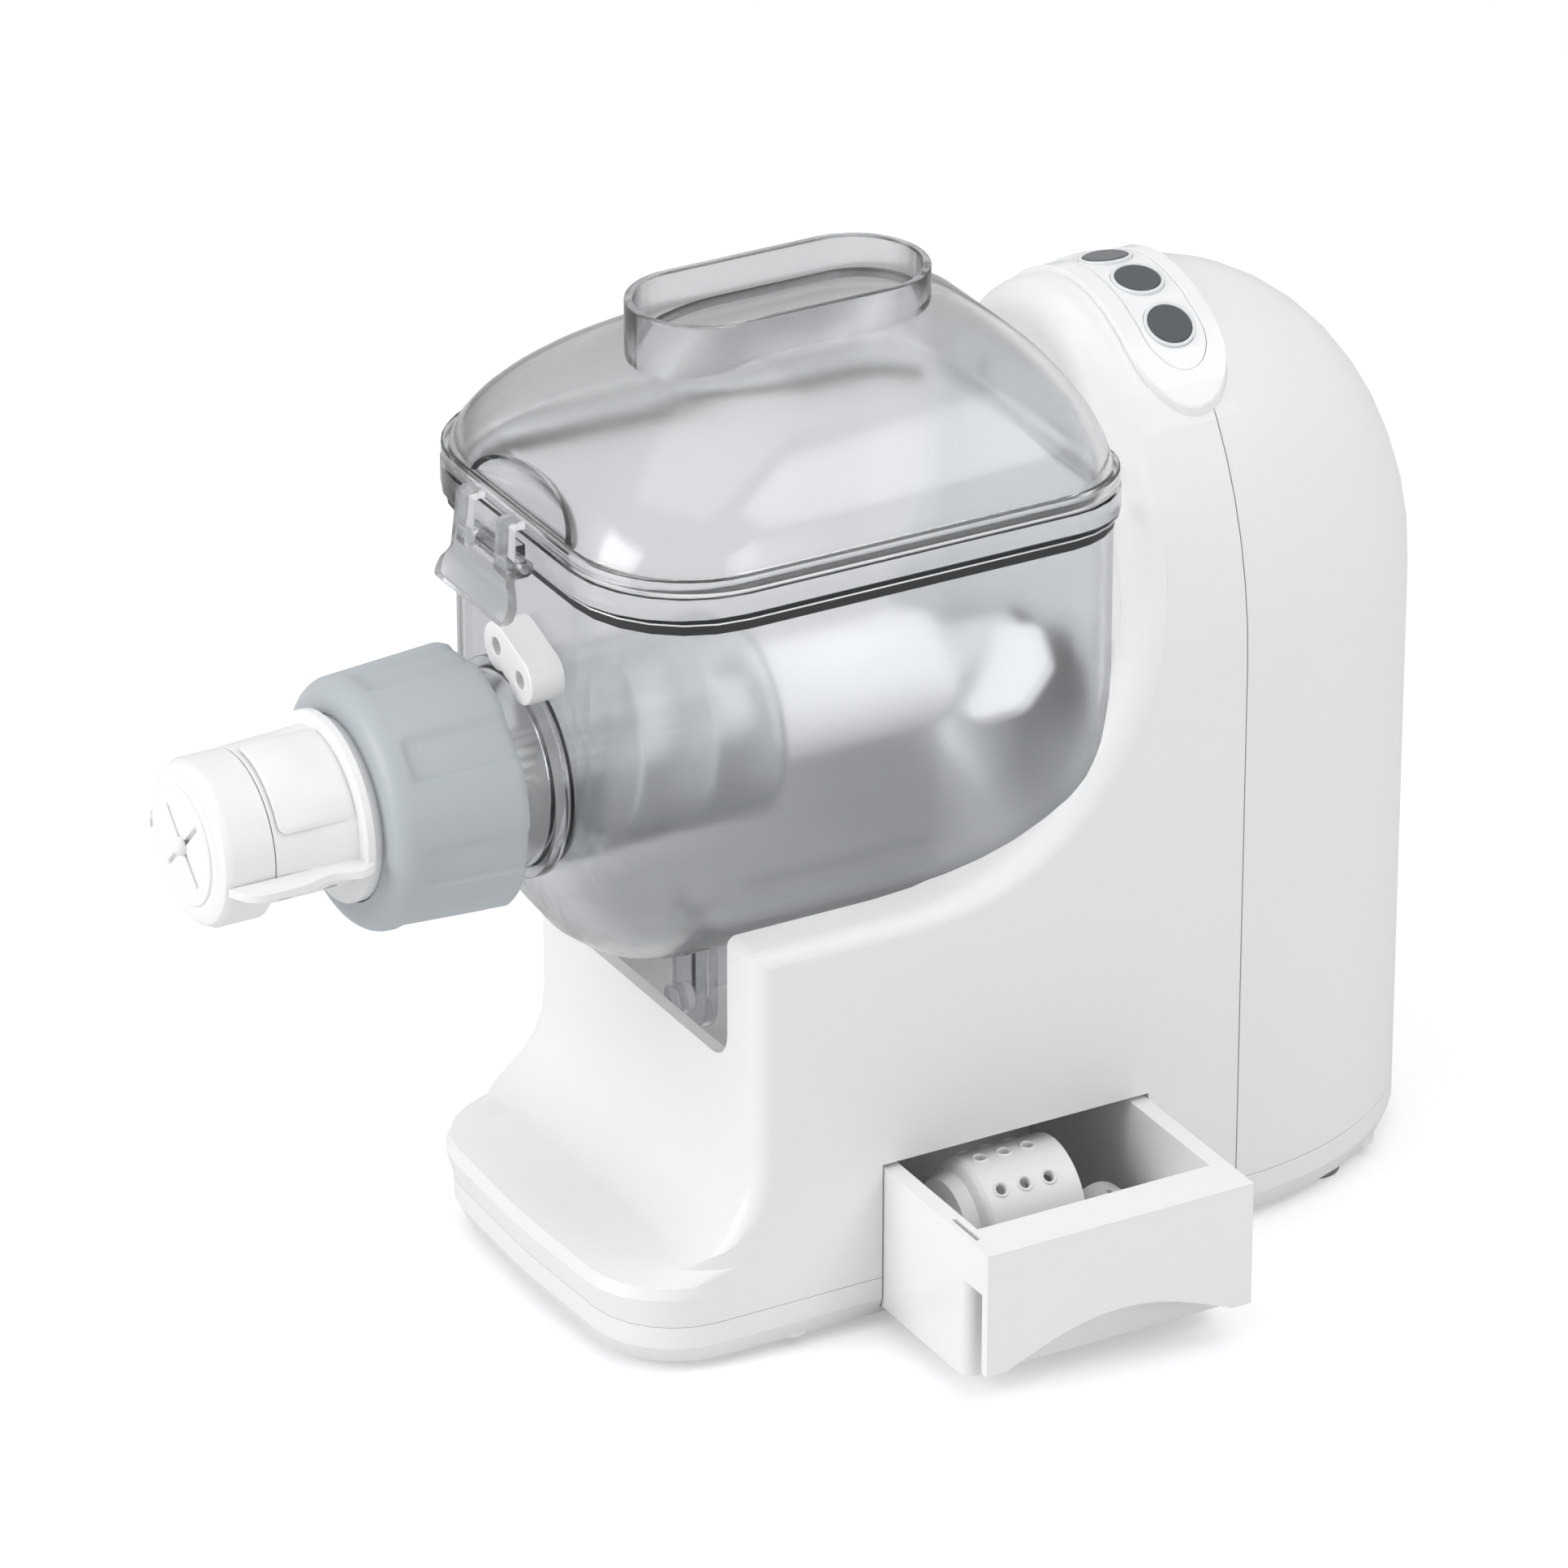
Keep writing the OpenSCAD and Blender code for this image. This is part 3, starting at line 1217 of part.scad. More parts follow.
// Plunger that the lid presses, with its return spring
plunger_x = -18.7;
plunger_share = 0.73;
plunger_z = arch_z + plunger_share * arch_h;
plunger_r = 3;
plunger_lip = 1.2;
plunger_end_y = tower_y + 4 * wall;
plunger_lip_y = tower_y + 2 * wall;
spring_gap = 0.8;
spring_l = 4;
spring_bore = 0.3;
spring_t = 0.6;
module interlock_plunger() {
    color("white") {
        bar_y(plunger_r, rim_back, plunger_end_y, plunger_z, plunger_x);
        bar_y(plunger_r + plunger_lip, plunger_lip_y, plunger_lip_y + plunger_lip, plunger_z, plunger_x);
    }
}
module plunger_spring() {
    y0 = plunger_lip_y + plunger_lip + spring_gap;
    color("silver") difference() {
        bar_y(plunger_r + spring_bore + spring_t, y0, y0 + spring_l, plunger_z, plunger_x);
        bar_y(plunger_r + spring_bore, y0 - over, y0 + spring_l + over, plunger_z, plunger_x);
    }
}

// Drawer with finger pull, detent tab and an arched panel
panel_t = 3;
pull_d = 9;
pull_top = 38;
panel_low = 12.5;
panel_arch = 10.5;
drawer_x1 = half_w + drawer_open;
drawer_x0 = drawer_x1 - drawer_l;
drawer_low = floor_top + fit;
tray_floor_t = 2.5;
detent_l = 14;
drawer_r = 4;
arch_steps = 12;
arch_side_share = 0.07;
front_wall_share = 0.6;
detent_at_share = 1.7;
detent_in_share = 0.36;
detent_slot_share = 0.28;
module drawer() {
    box_x1 = drawer_x1 - panel_t - pull_d;
    arch_y0 = drawer_y0 + arch_side_share * drawer_w;
    arch_y1 = drawer_y1 - arch_side_share * drawer_w;
    color("white") difference() {
        union() {
            prism_z(rounded([
                [drawer_x0, drawer_y0], [box_x1, drawer_y0, drawer_r],
                [box_x1, drawer_y1, drawer_r], [drawer_x0, drawer_y1]]), drawer_low, drawer_z);
            translate([box_x1 - drawer_r, drawer_y0, pull_top])
                cube([pull_d + drawer_r + eps, drawer_w, drawer_z - pull_top]);
            difference() {
                translate([drawer_x1 - panel_t, drawer_y0, panel_low])
                    cube([panel_t, drawer_w, drawer_z - panel_low]);
                prism_x(concat([for (i = [0 : arch_steps]) let (u = i / arch_steps)
                    [arch_y0 + (arch_y1 - arch_y0) * u, panel_low + panel_arch * sin(180 * u)]],
                    [[arch_y1, 0], [arch_y0, 0]]), 0, 2 * drawer_x1);
            }
        }
        translate([drawer_x0 + drawer_t, drawer_y0 + drawer_t, drawer_low + tray_floor_t])
            cube([box_x1 - drawer_x0 - (1 + front_wall_share) * drawer_t, drawer_w - 2 * drawer_t, drawer_z]);
        translate([drawer_x1 - detent_at_share * detent_l, drawer_y0 + detent_in_share * drawer_t,
            drawer_z - drawer_t]) cube([detent_l, detent_slot_share * drawer_t, 2 * drawer_t]);
    }
}

// Dies that lie in the drawer
die_floor = drawer_low + tray_floor_t;
tube_r = 19;
tube_l = 40;
tube_wall = 2.4;
tube_knob_r = 6;
tube_knob_l = 3;
tube_face_in = 5;
tube_shoulder_in = 3.4;
tube_shoulder_l = 7;
tube_edge_in = 1;
tube_edge_l = 8.4;
tube_side_l = 10;
tube_floor_l = 12;
tube_hole_r = 1.6;
tube_hole_n = 9;
tube_hole_rows = 3;
tube_hole_first = 15;
tube_hole_pitch = 8;
tube_in = 59.5;
tube_x = drawer_x1 - tube_in;
tube_y = -47.5;
module die_tube() {
    color("white") translate([tube_x, tube_y, die_floor + tube_r]) rotate([-90, 0, 0]) difference() {
        rotate_extrude() polygon([
            [0, 0], [tube_knob_r, 0], [tube_knob_r, tube_knob_l], [tube_r - tube_face_in, tube_knob_l],
            [tube_r - tube_shoulder_in, tube_shoulder_l], [tube_r - tube_edge_in, tube_edge_l],
            [tube_r, tube_side_l], [tube_r, tube_l], [tube_r - tube_wall, tube_l],
            [tube_r - tube_wall, tube_floor_l], [0, tube_side_l]]);
        for (j = [0 : tube_hole_rows - 1], i = [0 : tube_hole_n - 1])
            rotate([0, 0, 360 * i / tube_hole_n]) translate([0, 0, tube_hole_first + j * tube_hole_pitch])
                rotate([90, 0, 0]) translate([0, 0, tube_r - 2.5 * tube_wall])
                    cylinder(r = tube_hole_r, h = 5 * tube_hole_r);
    }
}
cone_r0 = 9;
cone_r1 = 13;
cone_l = 32;
cone_lip_in = 2;
cone_lip_l = 4;
cone_wall = 1.6;
cone_floor_t = 2;
cone_slot_n = 8;
cone_slot_w = 1.6;
cone_slot_l = 8;
cone_slot_first = 6;
cone_slot_pitch = 10;
cone_slot_in = 4;
cone_in = 55.5;
cone_x = drawer_x1 - cone_in;
cone_y = 4.6;
module die_cone() {
    color("white") translate([cone_x, cone_y, die_floor + cone_r1]) rotate([0, 90, 0]) difference() {
        rotate_extrude() polygon([
            [0, 0], [cone_r0, 0], [cone_r1 - cone_lip_in, cone_l - cone_lip_l],
            [cone_r1, cone_l - cone_lip_l],
            [cone_r1, cone_l], [cone_r1 - cone_lip_in - cone_wall, cone_l],
            [cone_r0 - cone_floor_t, cone_floor_t], [0, cone_floor_t]]);
        for (j = [0, 1], i = [0 : cone_slot_n - 1]) rotate([0, 0, 360 * (i + j / 2) / cone_slot_n])
            translate([cone_r0 - cone_slot_in, -cone_slot_w / 2, cone_slot_first + j * cone_slot_pitch])
                cube([cone_r1 - cone_r0 + 1.5 * cone_slot_in, cone_slot_w, cone_slot_l]);
    }
}
puck_r = 8;
puck_h = 12;
puck_wall = 2;
puck_lip = 2;
puck_lip_h = 3;
puck_hole_n = 6;
puck_hole_r = 0.9;
puck_in = 21.5;
puck_x = drawer_x1 - puck_in;
puck_y = -30;
module die_puck() {
    color("white") translate([puck_x - puck_r, puck_y, die_floor]) difference() {
        union() {
            cylinder(r = puck_r, h = puck_h);
            cylinder(r = puck_r + puck_lip, h = puck_lip_h);
        }
        translate([0, 0, -over]) cylinder(r = puck_r - puck_wall, h = puck_h - puck_wall + over);
        for (i = [0 : puck_hole_n - 1]) rotate([0, 0, 360 * i / puck_hole_n])
            translate([puck_r / 2, 0, 0]) cylinder(r = puck_hole_r, h = 2 * puck_h);
    }
}

base_tray();
rubber_feet();
base_screws();
front_housing();
rear_cover();
drawer_bay();
cord_gland();
control_bezel();
control_panel();
button_rings();
control_board();
power_button();
knead_button();
extrude_button();
mix_button();
bowl();
rim_gasket();
extrusion_barrel();
socket_block();
latch_pin();
lid();
lid_latch();
lock_ring();
die_drum();
nozzle_cap();
cap_button();
cutter_sleeve();
drive_shaft();
mixing_paddle();
extruder_screw();
shaft_seal();
main_bush();
gearbox_case();
output_gear();
compound_gear();
motor_case();
motor_rotor();
motor_fan();
interlock_plunger();
plunger_spring();
drawer();
die_tube();
die_cone();
die_puck();
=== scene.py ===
# %% [markdown]
# An electric pasta maker in white moulded plastic, with a clear bowl under a smoky lid.
# The solids come from the construction model, so places and sizes here are read from them or repeat theirs.
# This file dresses those solids: it rounds their edges, rebuilds the surfaces that need finer curves,
# and gives each piece a finish that is painted by shader nodes alone.

# %% Load the frame
import json
import math
import bpy
import bmesh
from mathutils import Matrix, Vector


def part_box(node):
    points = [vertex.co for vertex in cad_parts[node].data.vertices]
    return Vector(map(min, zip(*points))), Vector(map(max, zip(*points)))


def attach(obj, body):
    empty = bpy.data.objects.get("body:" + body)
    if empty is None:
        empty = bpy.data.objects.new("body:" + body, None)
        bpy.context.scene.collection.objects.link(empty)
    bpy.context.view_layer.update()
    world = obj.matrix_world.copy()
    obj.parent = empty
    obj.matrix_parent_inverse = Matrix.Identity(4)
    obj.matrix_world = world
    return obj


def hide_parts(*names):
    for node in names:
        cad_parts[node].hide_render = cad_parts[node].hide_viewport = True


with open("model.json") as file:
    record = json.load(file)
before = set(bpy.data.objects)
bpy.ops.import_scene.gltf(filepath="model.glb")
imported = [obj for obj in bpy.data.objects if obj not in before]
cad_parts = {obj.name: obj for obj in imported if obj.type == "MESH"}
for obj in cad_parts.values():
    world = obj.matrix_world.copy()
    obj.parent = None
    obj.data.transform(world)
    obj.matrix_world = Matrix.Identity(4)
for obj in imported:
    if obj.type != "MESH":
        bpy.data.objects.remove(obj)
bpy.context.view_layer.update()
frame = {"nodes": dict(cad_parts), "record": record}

bodies = frame["record"]["behaviour"]["bodies"]
body_of_node = {node: body for body, nodes in bodies.items() for node in nodes}
MM = 0.001

# %% [markdown]
# The camera comes first.
# The photograph was taken from the front right corner, from a little above, with a long lens.
# A long lens keeps upright edges almost parallel, so the camera stands almost three metres away.

# %% Camera
camera_data = bpy.data.cameras.new("camera")
camera = bpy.data.objects.new("camera", camera_data)
bpy.context.scene.collection.objects.link(camera)
camera_azimuth = 60.7
camera_elevation = 26.5
camera_place = (2.2137, -1.3027, 1.4115)
lens_mm = 225.5
sensor_mm = 36
camera.location = camera_place
camera.rotation_euler = (math.radians(90 - camera_elevation), 0, math.radians(camera_azimuth))
camera_data.lens = lens_mm
camera_data.sensor_width = sensor_mm
camera_data.clip_end = 20
bpy.context.scene.camera = camera
print("camera", tuple(round(v, 3) for v in camera.location))

# %% [markdown]
# A studio product photograph has a white sweep and large soft lamps.
# The floor is plain and pale. It adds a little of its own light for the camera alone, so that it reads
# as white paper while the contact shadow under the machine stays.

# %% Floor
def new_material(name):
    material = bpy.data.materials.new(name)
    material.use_nodes = True
    material.node_tree.nodes.clear()
    return material, material.node_tree.nodes, material.node_tree.links


floor_half = 6.0
floor_glow = 0.34
paper_white = (0.8, 0.8, 0.81, 1)
floor_mesh = bpy.data.meshes.new("floor")
floor_mesh.from_pydata([(-floor_half, -floor_half, 0), (floor_half, -floor_half, 0),
                        (floor_half, floor_half, 0), (-floor_half, floor_half, 0)], [], [(0, 1, 2, 3)])
floor = bpy.data.objects.new("floor", floor_mesh)
bpy.context.scene.collection.objects.link(floor)
material, nodes, links = new_material("paper_floor")
paper = nodes.new("ShaderNodeBsdfDiffuse")
paper.inputs["Color"].default_value = paper_white
glow = nodes.new("ShaderNodeEmission")
path = nodes.new("ShaderNodeLightPath")
glow_level = nodes.new("ShaderNodeMath")
glow_level.operation = "MULTIPLY"
glow_level.inputs[1].default_value = floor_glow
links.new(path.outputs["Is Camera Ray"], glow_level.inputs[0])
links.new(glow_level.outputs[0], glow.inputs["Strength"])
both = nodes.new("ShaderNodeAddShader")
links.new(paper.outputs[0], both.inputs[0])
links.new(glow.outputs[0], both.inputs[1])
out = nodes.new("ShaderNodeOutputMaterial")
links.new(both.outputs[0], out.inputs["Surface"])
floor_mesh.materials.append(material)

# %% [markdown]
# Around the machine there is even white. It lights the shapes gently, at half its strength, and shows at full
# strength to the camera and to the rays that glass and gloss send out, so the clear walls look onto white.

# %% World
sky_light = 0.5
sky_seen = 1.0
world = bpy.data.worlds.new("studio")
bpy.context.scene.world = world
world.use_nodes = True
nodes, links = world.node_tree.nodes, world.node_tree.links
nodes.clear()
path = nodes.new("ShaderNodeLightPath")
level = nodes.new("ShaderNodeMapRange")
level.inputs["To Min"].default_value = sky_light
level.inputs["To Max"].default_value = sky_seen
seen = path.outputs["Is Camera Ray"]
for kind in ("Is Glossy Ray", "Is Transmission Ray"):
    either = nodes.new("ShaderNodeMath")
    either.operation = "MAXIMUM"
    links.new(seen, either.inputs[0])
    links.new(path.outputs[kind], either.inputs[1])
    seen = either.outputs[0]
links.new(seen, level.inputs["Value"])
sky = nodes.new("ShaderNodeBackground")
sky.inputs["Color"].default_value = (1, 1, 1, 1)
links.new(level.outputs["Result"], sky.inputs["Strength"])
out = nodes.new("ShaderNodeOutputWorld")
links.new(sky.outputs[0], out.inputs["Surface"])

# %% [markdown]
# Four soft lamps do the rest. The front one is the strongest, because the ends of the nozzle and of the foot
# are among the brightest faces in the photograph. The side one is weak, because the long side looks grey.
# Each lamp has its place, its width and height in metres, and its power in watts.

# %% Lamps
def softbox(name, place, target, width, height, power):
    """A flat lamp that faces the target."""
    data = bpy.data.lights.new(name, "AREA")
    data.shape = "RECTANGLE"
    data.size = width
    data.size_y = height
    data.energy = power
    lamp = bpy.data.objects.new(name, data)
    lamp.location = place
    lamp.rotation_euler = (Vector(target) - Vector(place)).to_track_quat("-Z", "Y").to_euler()
    bpy.context.scene.collection.objects.link(lamp)


middle = (0, 0, 0.14)
softbox("key", (0.9, 0.9, 1.7), middle, 1.2, 1.0, 9)
softbox("front", (-0.1, -2.2, 1.0), middle, 1.3, 1.4, 29)
softbox("side", (2.4, 0.4, 0.9), middle, 0.9, 1.4, 9)
softbox("top", (-0.2, -0.1, 2.2), middle, 1.6, 1.6, 8)

# %% [markdown]
# Moulded plastic is never perfectly even. Under a lamp it shows a faint orange-peel grain, a slow change
# of sheen where the melt cooled, and a trace of colour change in thick places.
# One helper builds that finish from noise in Object coordinates, so nothing needs unwrapping.

# %% Plastic finish
def noise_node(nodes, links, coords, scale, detail=3.0):
    texture = nodes.new("ShaderNodeTexNoise")
    texture.inputs["Scale"].default_value = scale
    texture.inputs["Detail"].default_value = detail
    links.new(coords.outputs["Object"], texture.inputs["Vector"])
    return texture


def range_node(nodes, links, source, low, high):
    span = nodes.new("ShaderNodeMapRange")
    span.inputs["To Min"].default_value = low
    span.inputs["To Max"].default_value = high
    links.new(source, span.inputs["Value"])
    return span


def blend_colours(nodes, links, factor, first, second):
    mix = nodes.new("ShaderNodeMix")
    mix.data_type = "RGBA"
    mix.inputs["A"].default_value = (*first, 1)
    mix.inputs["B"].default_value = (*second, 1)
    links.new(factor, mix.inputs["Factor"])
    return mix


slow_scale = 9.0
grain_detail = 2.0
grain_strength = 0.5


def plastic(name, colour, shade, rough, grain=900.0, grain_depth=0.00002, metallic=0.0):
    """Moulded plastic or metal: slow colour and sheen changes, and a fine grain.

    The colour darkens by shade at most, rough is the range of roughness, and grain is a noise scale.
    """
    material, nodes, links = new_material(name)
    coords = nodes.new("ShaderNodeTexCoord")
    slow = noise_node(nodes, links, coords, slow_scale)
    fine = noise_node(nodes, links, coords, grain, grain_detail)
    darker = tuple(c * (1 - shade) for c in colour)
    tint = blend_colours(nodes, links, slow.outputs["Fac"], darker, colour)
    sheen = range_node(nodes, links, slow.outputs["Fac"], *rough)
    bump = nodes.new("ShaderNodeBump")
    bump.inputs["Strength"].default_value = grain_strength
    bump.inputs["Distance"].default_value = grain_depth
    links.new(fine.outputs["Fac"], bump.inputs["Height"])
    surface = nodes.new("ShaderNodeBsdfPrincipled")
    surface.inputs["Metallic"].default_value = metallic
    links.new(tint.outputs["Result"], surface.inputs["Base Color"])
    links.new(sheen.outputs["Result"], surface.inputs["Roughness"])
    links.new(bump.outputs["Normal"], surface.inputs["Normal"])
    out = nodes.new("ShaderNodeOutputMaterial")
    links.new(surface.outputs[0], out.inputs["Surface"])
    return material


# %% [markdown]
# The lid is smoky polycarbonate and the bowl is clear, with a fine frost from the mould. The light really
# bends in both: walls go dark where they turn away, and what is inside shows soft and blurred.
# So this finish is a rough glass. Its tint deepens where the surface turns from the eye, as Layer Weight
# gives it, because the light crosses more of the wall there. Rays that look for a lamp pass straight
# through with a plain grey tint of their own, so the pieces inside are lit.

# %% Clear finishes
frost_scale = 14.0
plastic_ior = 1.45
edge_blend = 0.2


def clear_plastic(name, centre, edge, rough, lamp_tint=0.85):
    """Frosted glass that darkens at its edges and lets lamp light through."""
    material, nodes, links = new_material(name)
    coords = nodes.new("ShaderNodeTexCoord")
    slow = noise_node(nodes, links, coords, frost_scale)
    facing = nodes.new("ShaderNodeLayerWeight")
    facing.inputs["Blend"].default_value = edge_blend
    tint = blend_colours(nodes, links, facing.outputs["Facing"], centre, edge)
    frost = range_node(nodes, links, slow.outputs["Fac"], *rough)
    wall = nodes.new("ShaderNodeBsdfPrincipled")
    wall.inputs["Transmission Weight"].default_value = 1.0
    wall.inputs["IOR"].default_value = plastic_ior
    links.new(tint.outputs["Result"], wall.inputs["Base Color"])
    links.new(frost.outputs["Result"], wall.inputs["Roughness"])
    passing = nodes.new("ShaderNodeBsdfTransparent")
    passing.inputs["Color"].default_value = (lamp_tint, lamp_tint, lamp_tint, 1)
    path = nodes.new("ShaderNodeLightPath")
    mix = nodes.new("ShaderNodeMixShader")
    links.new(path.outputs["Is Shadow Ray"], mix.inputs["Fac"])
    links.new(wall.outputs[0], mix.inputs[1])
    links.new(passing.outputs[0], mix.inputs[2])
    out = nodes.new("ShaderNodeOutputMaterial")
    links.new(mix.outputs[0], out.inputs["Surface"])
    return material


finishes = {
    "white_housing": plastic("white_housing", (0.84, 0.845, 0.85), 0.03, (0.36, 0.46)),
    "white_gloss": plastic("white_gloss", (0.86, 0.865, 0.87), 0.02, (0.2, 0.28), 600.0, 0.00001),
    "white_satin": plastic("white_satin", (0.84, 0.845, 0.85), 0.03, (0.32, 0.4)),
    "ring_grey": plastic("ring_grey", (0.43, 0.468, 0.49), 0.04, (0.38, 0.48)),
    "button_grey": plastic("button_grey", (0.055, 0.066, 0.075), 0.06, (0.3, 0.38)),
    "pale_ring": plastic("pale_ring", (0.76, 0.79, 0.8), 0.03, (0.12, 0.2)),
    "grey_rubber": plastic("grey_rubber", (0.2, 0.205, 0.21), 0.1, (0.7, 0.85), 1500.0, 0.00004),
    "black_rubber": plastic("black_rubber", (0.015, 0.018, 0.02), 0.2, (0.4, 0.55), 1500.0, 0.00002),
    "steel": plastic("steel", (0.62, 0.63, 0.64), 0.1, (0.18, 0.3), 2500.0, 0.00001, 1.0),
    "bronze": plastic("bronze", (0.6, 0.4, 0.18), 0.15, (0.3, 0.45), 2500.0, 0.00002, 1.0),
    "gearbox_dark": plastic("gearbox_dark", (0.05, 0.055, 0.06), 0.1, (0.45, 0.6)),
    "nylon": plastic("nylon", (0.72, 0.67, 0.5), 0.06, (0.35, 0.5)),
    "board_green": plastic("board_green", (0.02, 0.16, 0.06), 0.2, (0.2, 0.35)),
    "smoky_lid": clear_plastic("smoky_lid", (0.95, 0.96, 0.97), (0.16, 0.18, 0.19), (0.11, 0.17)),
    "clear_bowl": clear_plastic("clear_bowl", (0.97, 0.98, 0.99), (0.4, 0.43, 0.45), (0.13, 0.19), 0.95),
    "clear_barrel": clear_plastic("clear_barrel", (0.97, 0.98, 0.99), (0.5, 0.53, 0.55), (0.16, 0.24), 0.95),
    "smoky_latch": clear_plastic("smoky_latch", (0.86, 0.88, 0.89), (0.4, 0.43, 0.45), (0.2, 0.3)),
}
print("finishes", len(finishes))

# %% [markdown]
# Most pieces keep the form of their solid, but a moulded edge is never knife sharp.
# A highlight runs along it.
# A copy of the solid is welded, flat areas are joined to single faces, and a small bevel rounds each edge.
# Weighted normals then let the flat faces stay flat while the bevels shade round.
# The housings meet at two parting lines: one up the tower, and one round the foot above the tray.
# There the meeting faces are drawn back a little, so that the seam is a real dark gap.

# %% Mouldings from solids
seam_y = round(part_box("rear_cover")[0][1] / MM, 2)
seam_z = round(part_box("rear_cover")[0][2] / MM, 2)
print("seams at y", seam_y, "and z", seam_z, "mm")
tower_gap = 0.4
tray_gap = 0.2
parting = {
    "front_housing": [(1, seam_y, -tower_gap), (2, seam_z, tray_gap)],
    "rear_cover": [(2, seam_z, tray_gap)],
}
seam_reach = 2e-5
weld_reach = 2e-6
flat_angle = 0.6
edge_angle = 32.0
edge_segments = 2


def draw_back(shape, axis, place, step):
    """Moves the points on one parting plane back by a step, so that a real gap shows as the seam."""
    count = 0
    for point in shape.verts:
        if abs(point.co[axis] - place) < seam_reach:
            point.co[axis] += step
            count += 1
    return count


def moulding(node, finish, radius):
    """A softened copy of a node's solid that stands for it."""
    source = frame["nodes"][node]
    mesh = source.data.copy()
    mesh.transform(source.matrix_world)
    piece = bpy.data.objects.new("piece_" + node, mesh)
    bpy.context.scene.collection.objects.link(piece)
    shape = bmesh.new()
    shape.from_mesh(mesh)
    bmesh.ops.remove_doubles(shape, verts=shape.verts, dist=weld_reach)
    limit = math.radians(flat_angle)
    bmesh.ops.dissolve_limit(shape, angle_limit=limit, verts=shape.verts, edges=shape.edges)
    for axis, place, step in parting.get(node, []):
        print(node, "seam points", draw_back(shape, axis, place * MM, step * MM))
    shape.to_mesh(mesh)
    shape.free()
    mesh.materials.clear()
    mesh.materials.append(finishes[finish])
    if radius:
        bevel = piece.modifiers.new("edge", "BEVEL")
        bevel.width = radius * MM
        bevel.segments = edge_segments
        bevel.limit_method = "ANGLE"
        bevel.angle_limit = math.radians(edge_angle)
    for face in mesh.polygons:
        face.use_smooth = True
    mesh.set_sharp_from_angle(angle=math.radians(edge_angle))
    weigh = piece.modifiers.new("weigh", "WEIGHTED_NORMAL")
    weigh.keep_sharp = True
    bake(piece)
    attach(piece, body_of_node[node])
    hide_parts(node)


def bake(piece):
    """Puts the result of the modifiers into the piece's own mesh."""
    depsgraph = bpy.context.evaluated_depsgraph_get()
    result = bpy.data.meshes.new_from_object(piece.evaluated_get(depsgraph))
    piece.modifiers.clear()
    old = piece.data
    piece.data = result
    bpy.data.meshes.remove(old)


# Each node has its finish and the radius of its edges in millimetres.
plain_pieces = {
    "front_housing": ("white_housing", 0.5),
    "rear_cover": ("white_housing", 0.3),
    "base_tray": ("white_housing", 0.4),
    "drawer_bay": ("white_satin", 0),
    "control_bezel": ("white_gloss", 0.4),
    "control_panel": ("white_gloss", 0.2),
    "button_rings": ("pale_ring", 0.25),
    "power_button": ("button_grey", 0.3),
    "knead_button": ("button_grey", 0.3),
    "extrude_button": ("button_grey", 0.3),
    "mix_button": ("button_grey", 0.3),
    "control_board": ("board_green", 0),
    "rubber_feet": ("grey_rubber", 0.6),
    "base_screws": ("steel", 0),
    "cord_gland": ("grey_rubber", 0.4),
    "bowl": ("clear_bowl", 0.4),
    "rim_gasket": ("black_rubber", 0.3),
    "extrusion_barrel": ("clear_barrel", 0.5),
    "socket_block": ("white_satin", 1.2),
    "latch_pin": ("steel", 0),
    "lid_latch": ("smoky_latch", 0.5),
    "die_drum": ("white_satin", 0.4),
    "nozzle_cap": ("white_satin", 0.3),
    "cap_button": ("white_satin", 0),
    "cutter_sleeve": ("white_satin", 0.4),
    "drive_shaft": ("steel", 0.3),
    "mixing_paddle": ("white_satin", 0.6),
    "extruder_screw": ("white_satin", 0),
    "shaft_seal": ("grey_rubber", 0.2),
    "main_bush": ("bronze", 0.2),
    "gearbox_case": ("gearbox_dark", 0.4),
    "output_gear": ("nylon", 0),
    "compound_gear": ("nylon", 0),
    "motor_case": ("steel", 0.5),
    "motor_rotor": ("steel", 0),
    "motor_fan": ("nylon", 0.2),
    "interlock_plunger": ("ring_grey", 0.4),
    "plunger_spring": ("steel", 0),
    "drawer": ("white_gloss", 0.5),
    "die_tube": ("white_satin", 0.3),
    "die_cone": ("white_satin", 0.2),
    "die_puck": ("white_satin", 0.3),
}
for node, (finish, radius) in plain_pieces.items():
    moulding(node, finish, radius)
print("pieces", len(plain_pieces))

# %% [markdown]
# The next pieces need finer curves than their solids have: the lid's dome, the lock ring with its flutes
# and the panel on the die's sleeve. Each is made from rings of points that are joined into a skin.
# The outline of bowl, lid and chute is a rectangle with round corners, so one function draws it.

# %% Rings and skins
# A soft edge has one point between its two ends, this share of the edge away from the corner.
round_share = 0.3


def rounded_ring(x0, x1, y0, y1, r0, r1, steps=10):
    """Points of a rectangle with corners of radius r0 at its y0 end and r1 at its y1 end."""
    corners = [
        (x1 - r0, y0 + r0, r0, -90),
        (x1 - r1, y1 - r1, r1, 0),
        (x0 + r1, y1 - r1, r1, 90),
        (x0 + r0, y0 + r0, r0, 180),
    ]
    ring = []
    for cx, cy, radius, start in corners:
        for i in range(steps + 1):
            angle = math.radians(start + 90 * i / steps)
            ring.append((cx + radius * math.cos(angle), cy + radius * math.sin(angle)))
    return ring


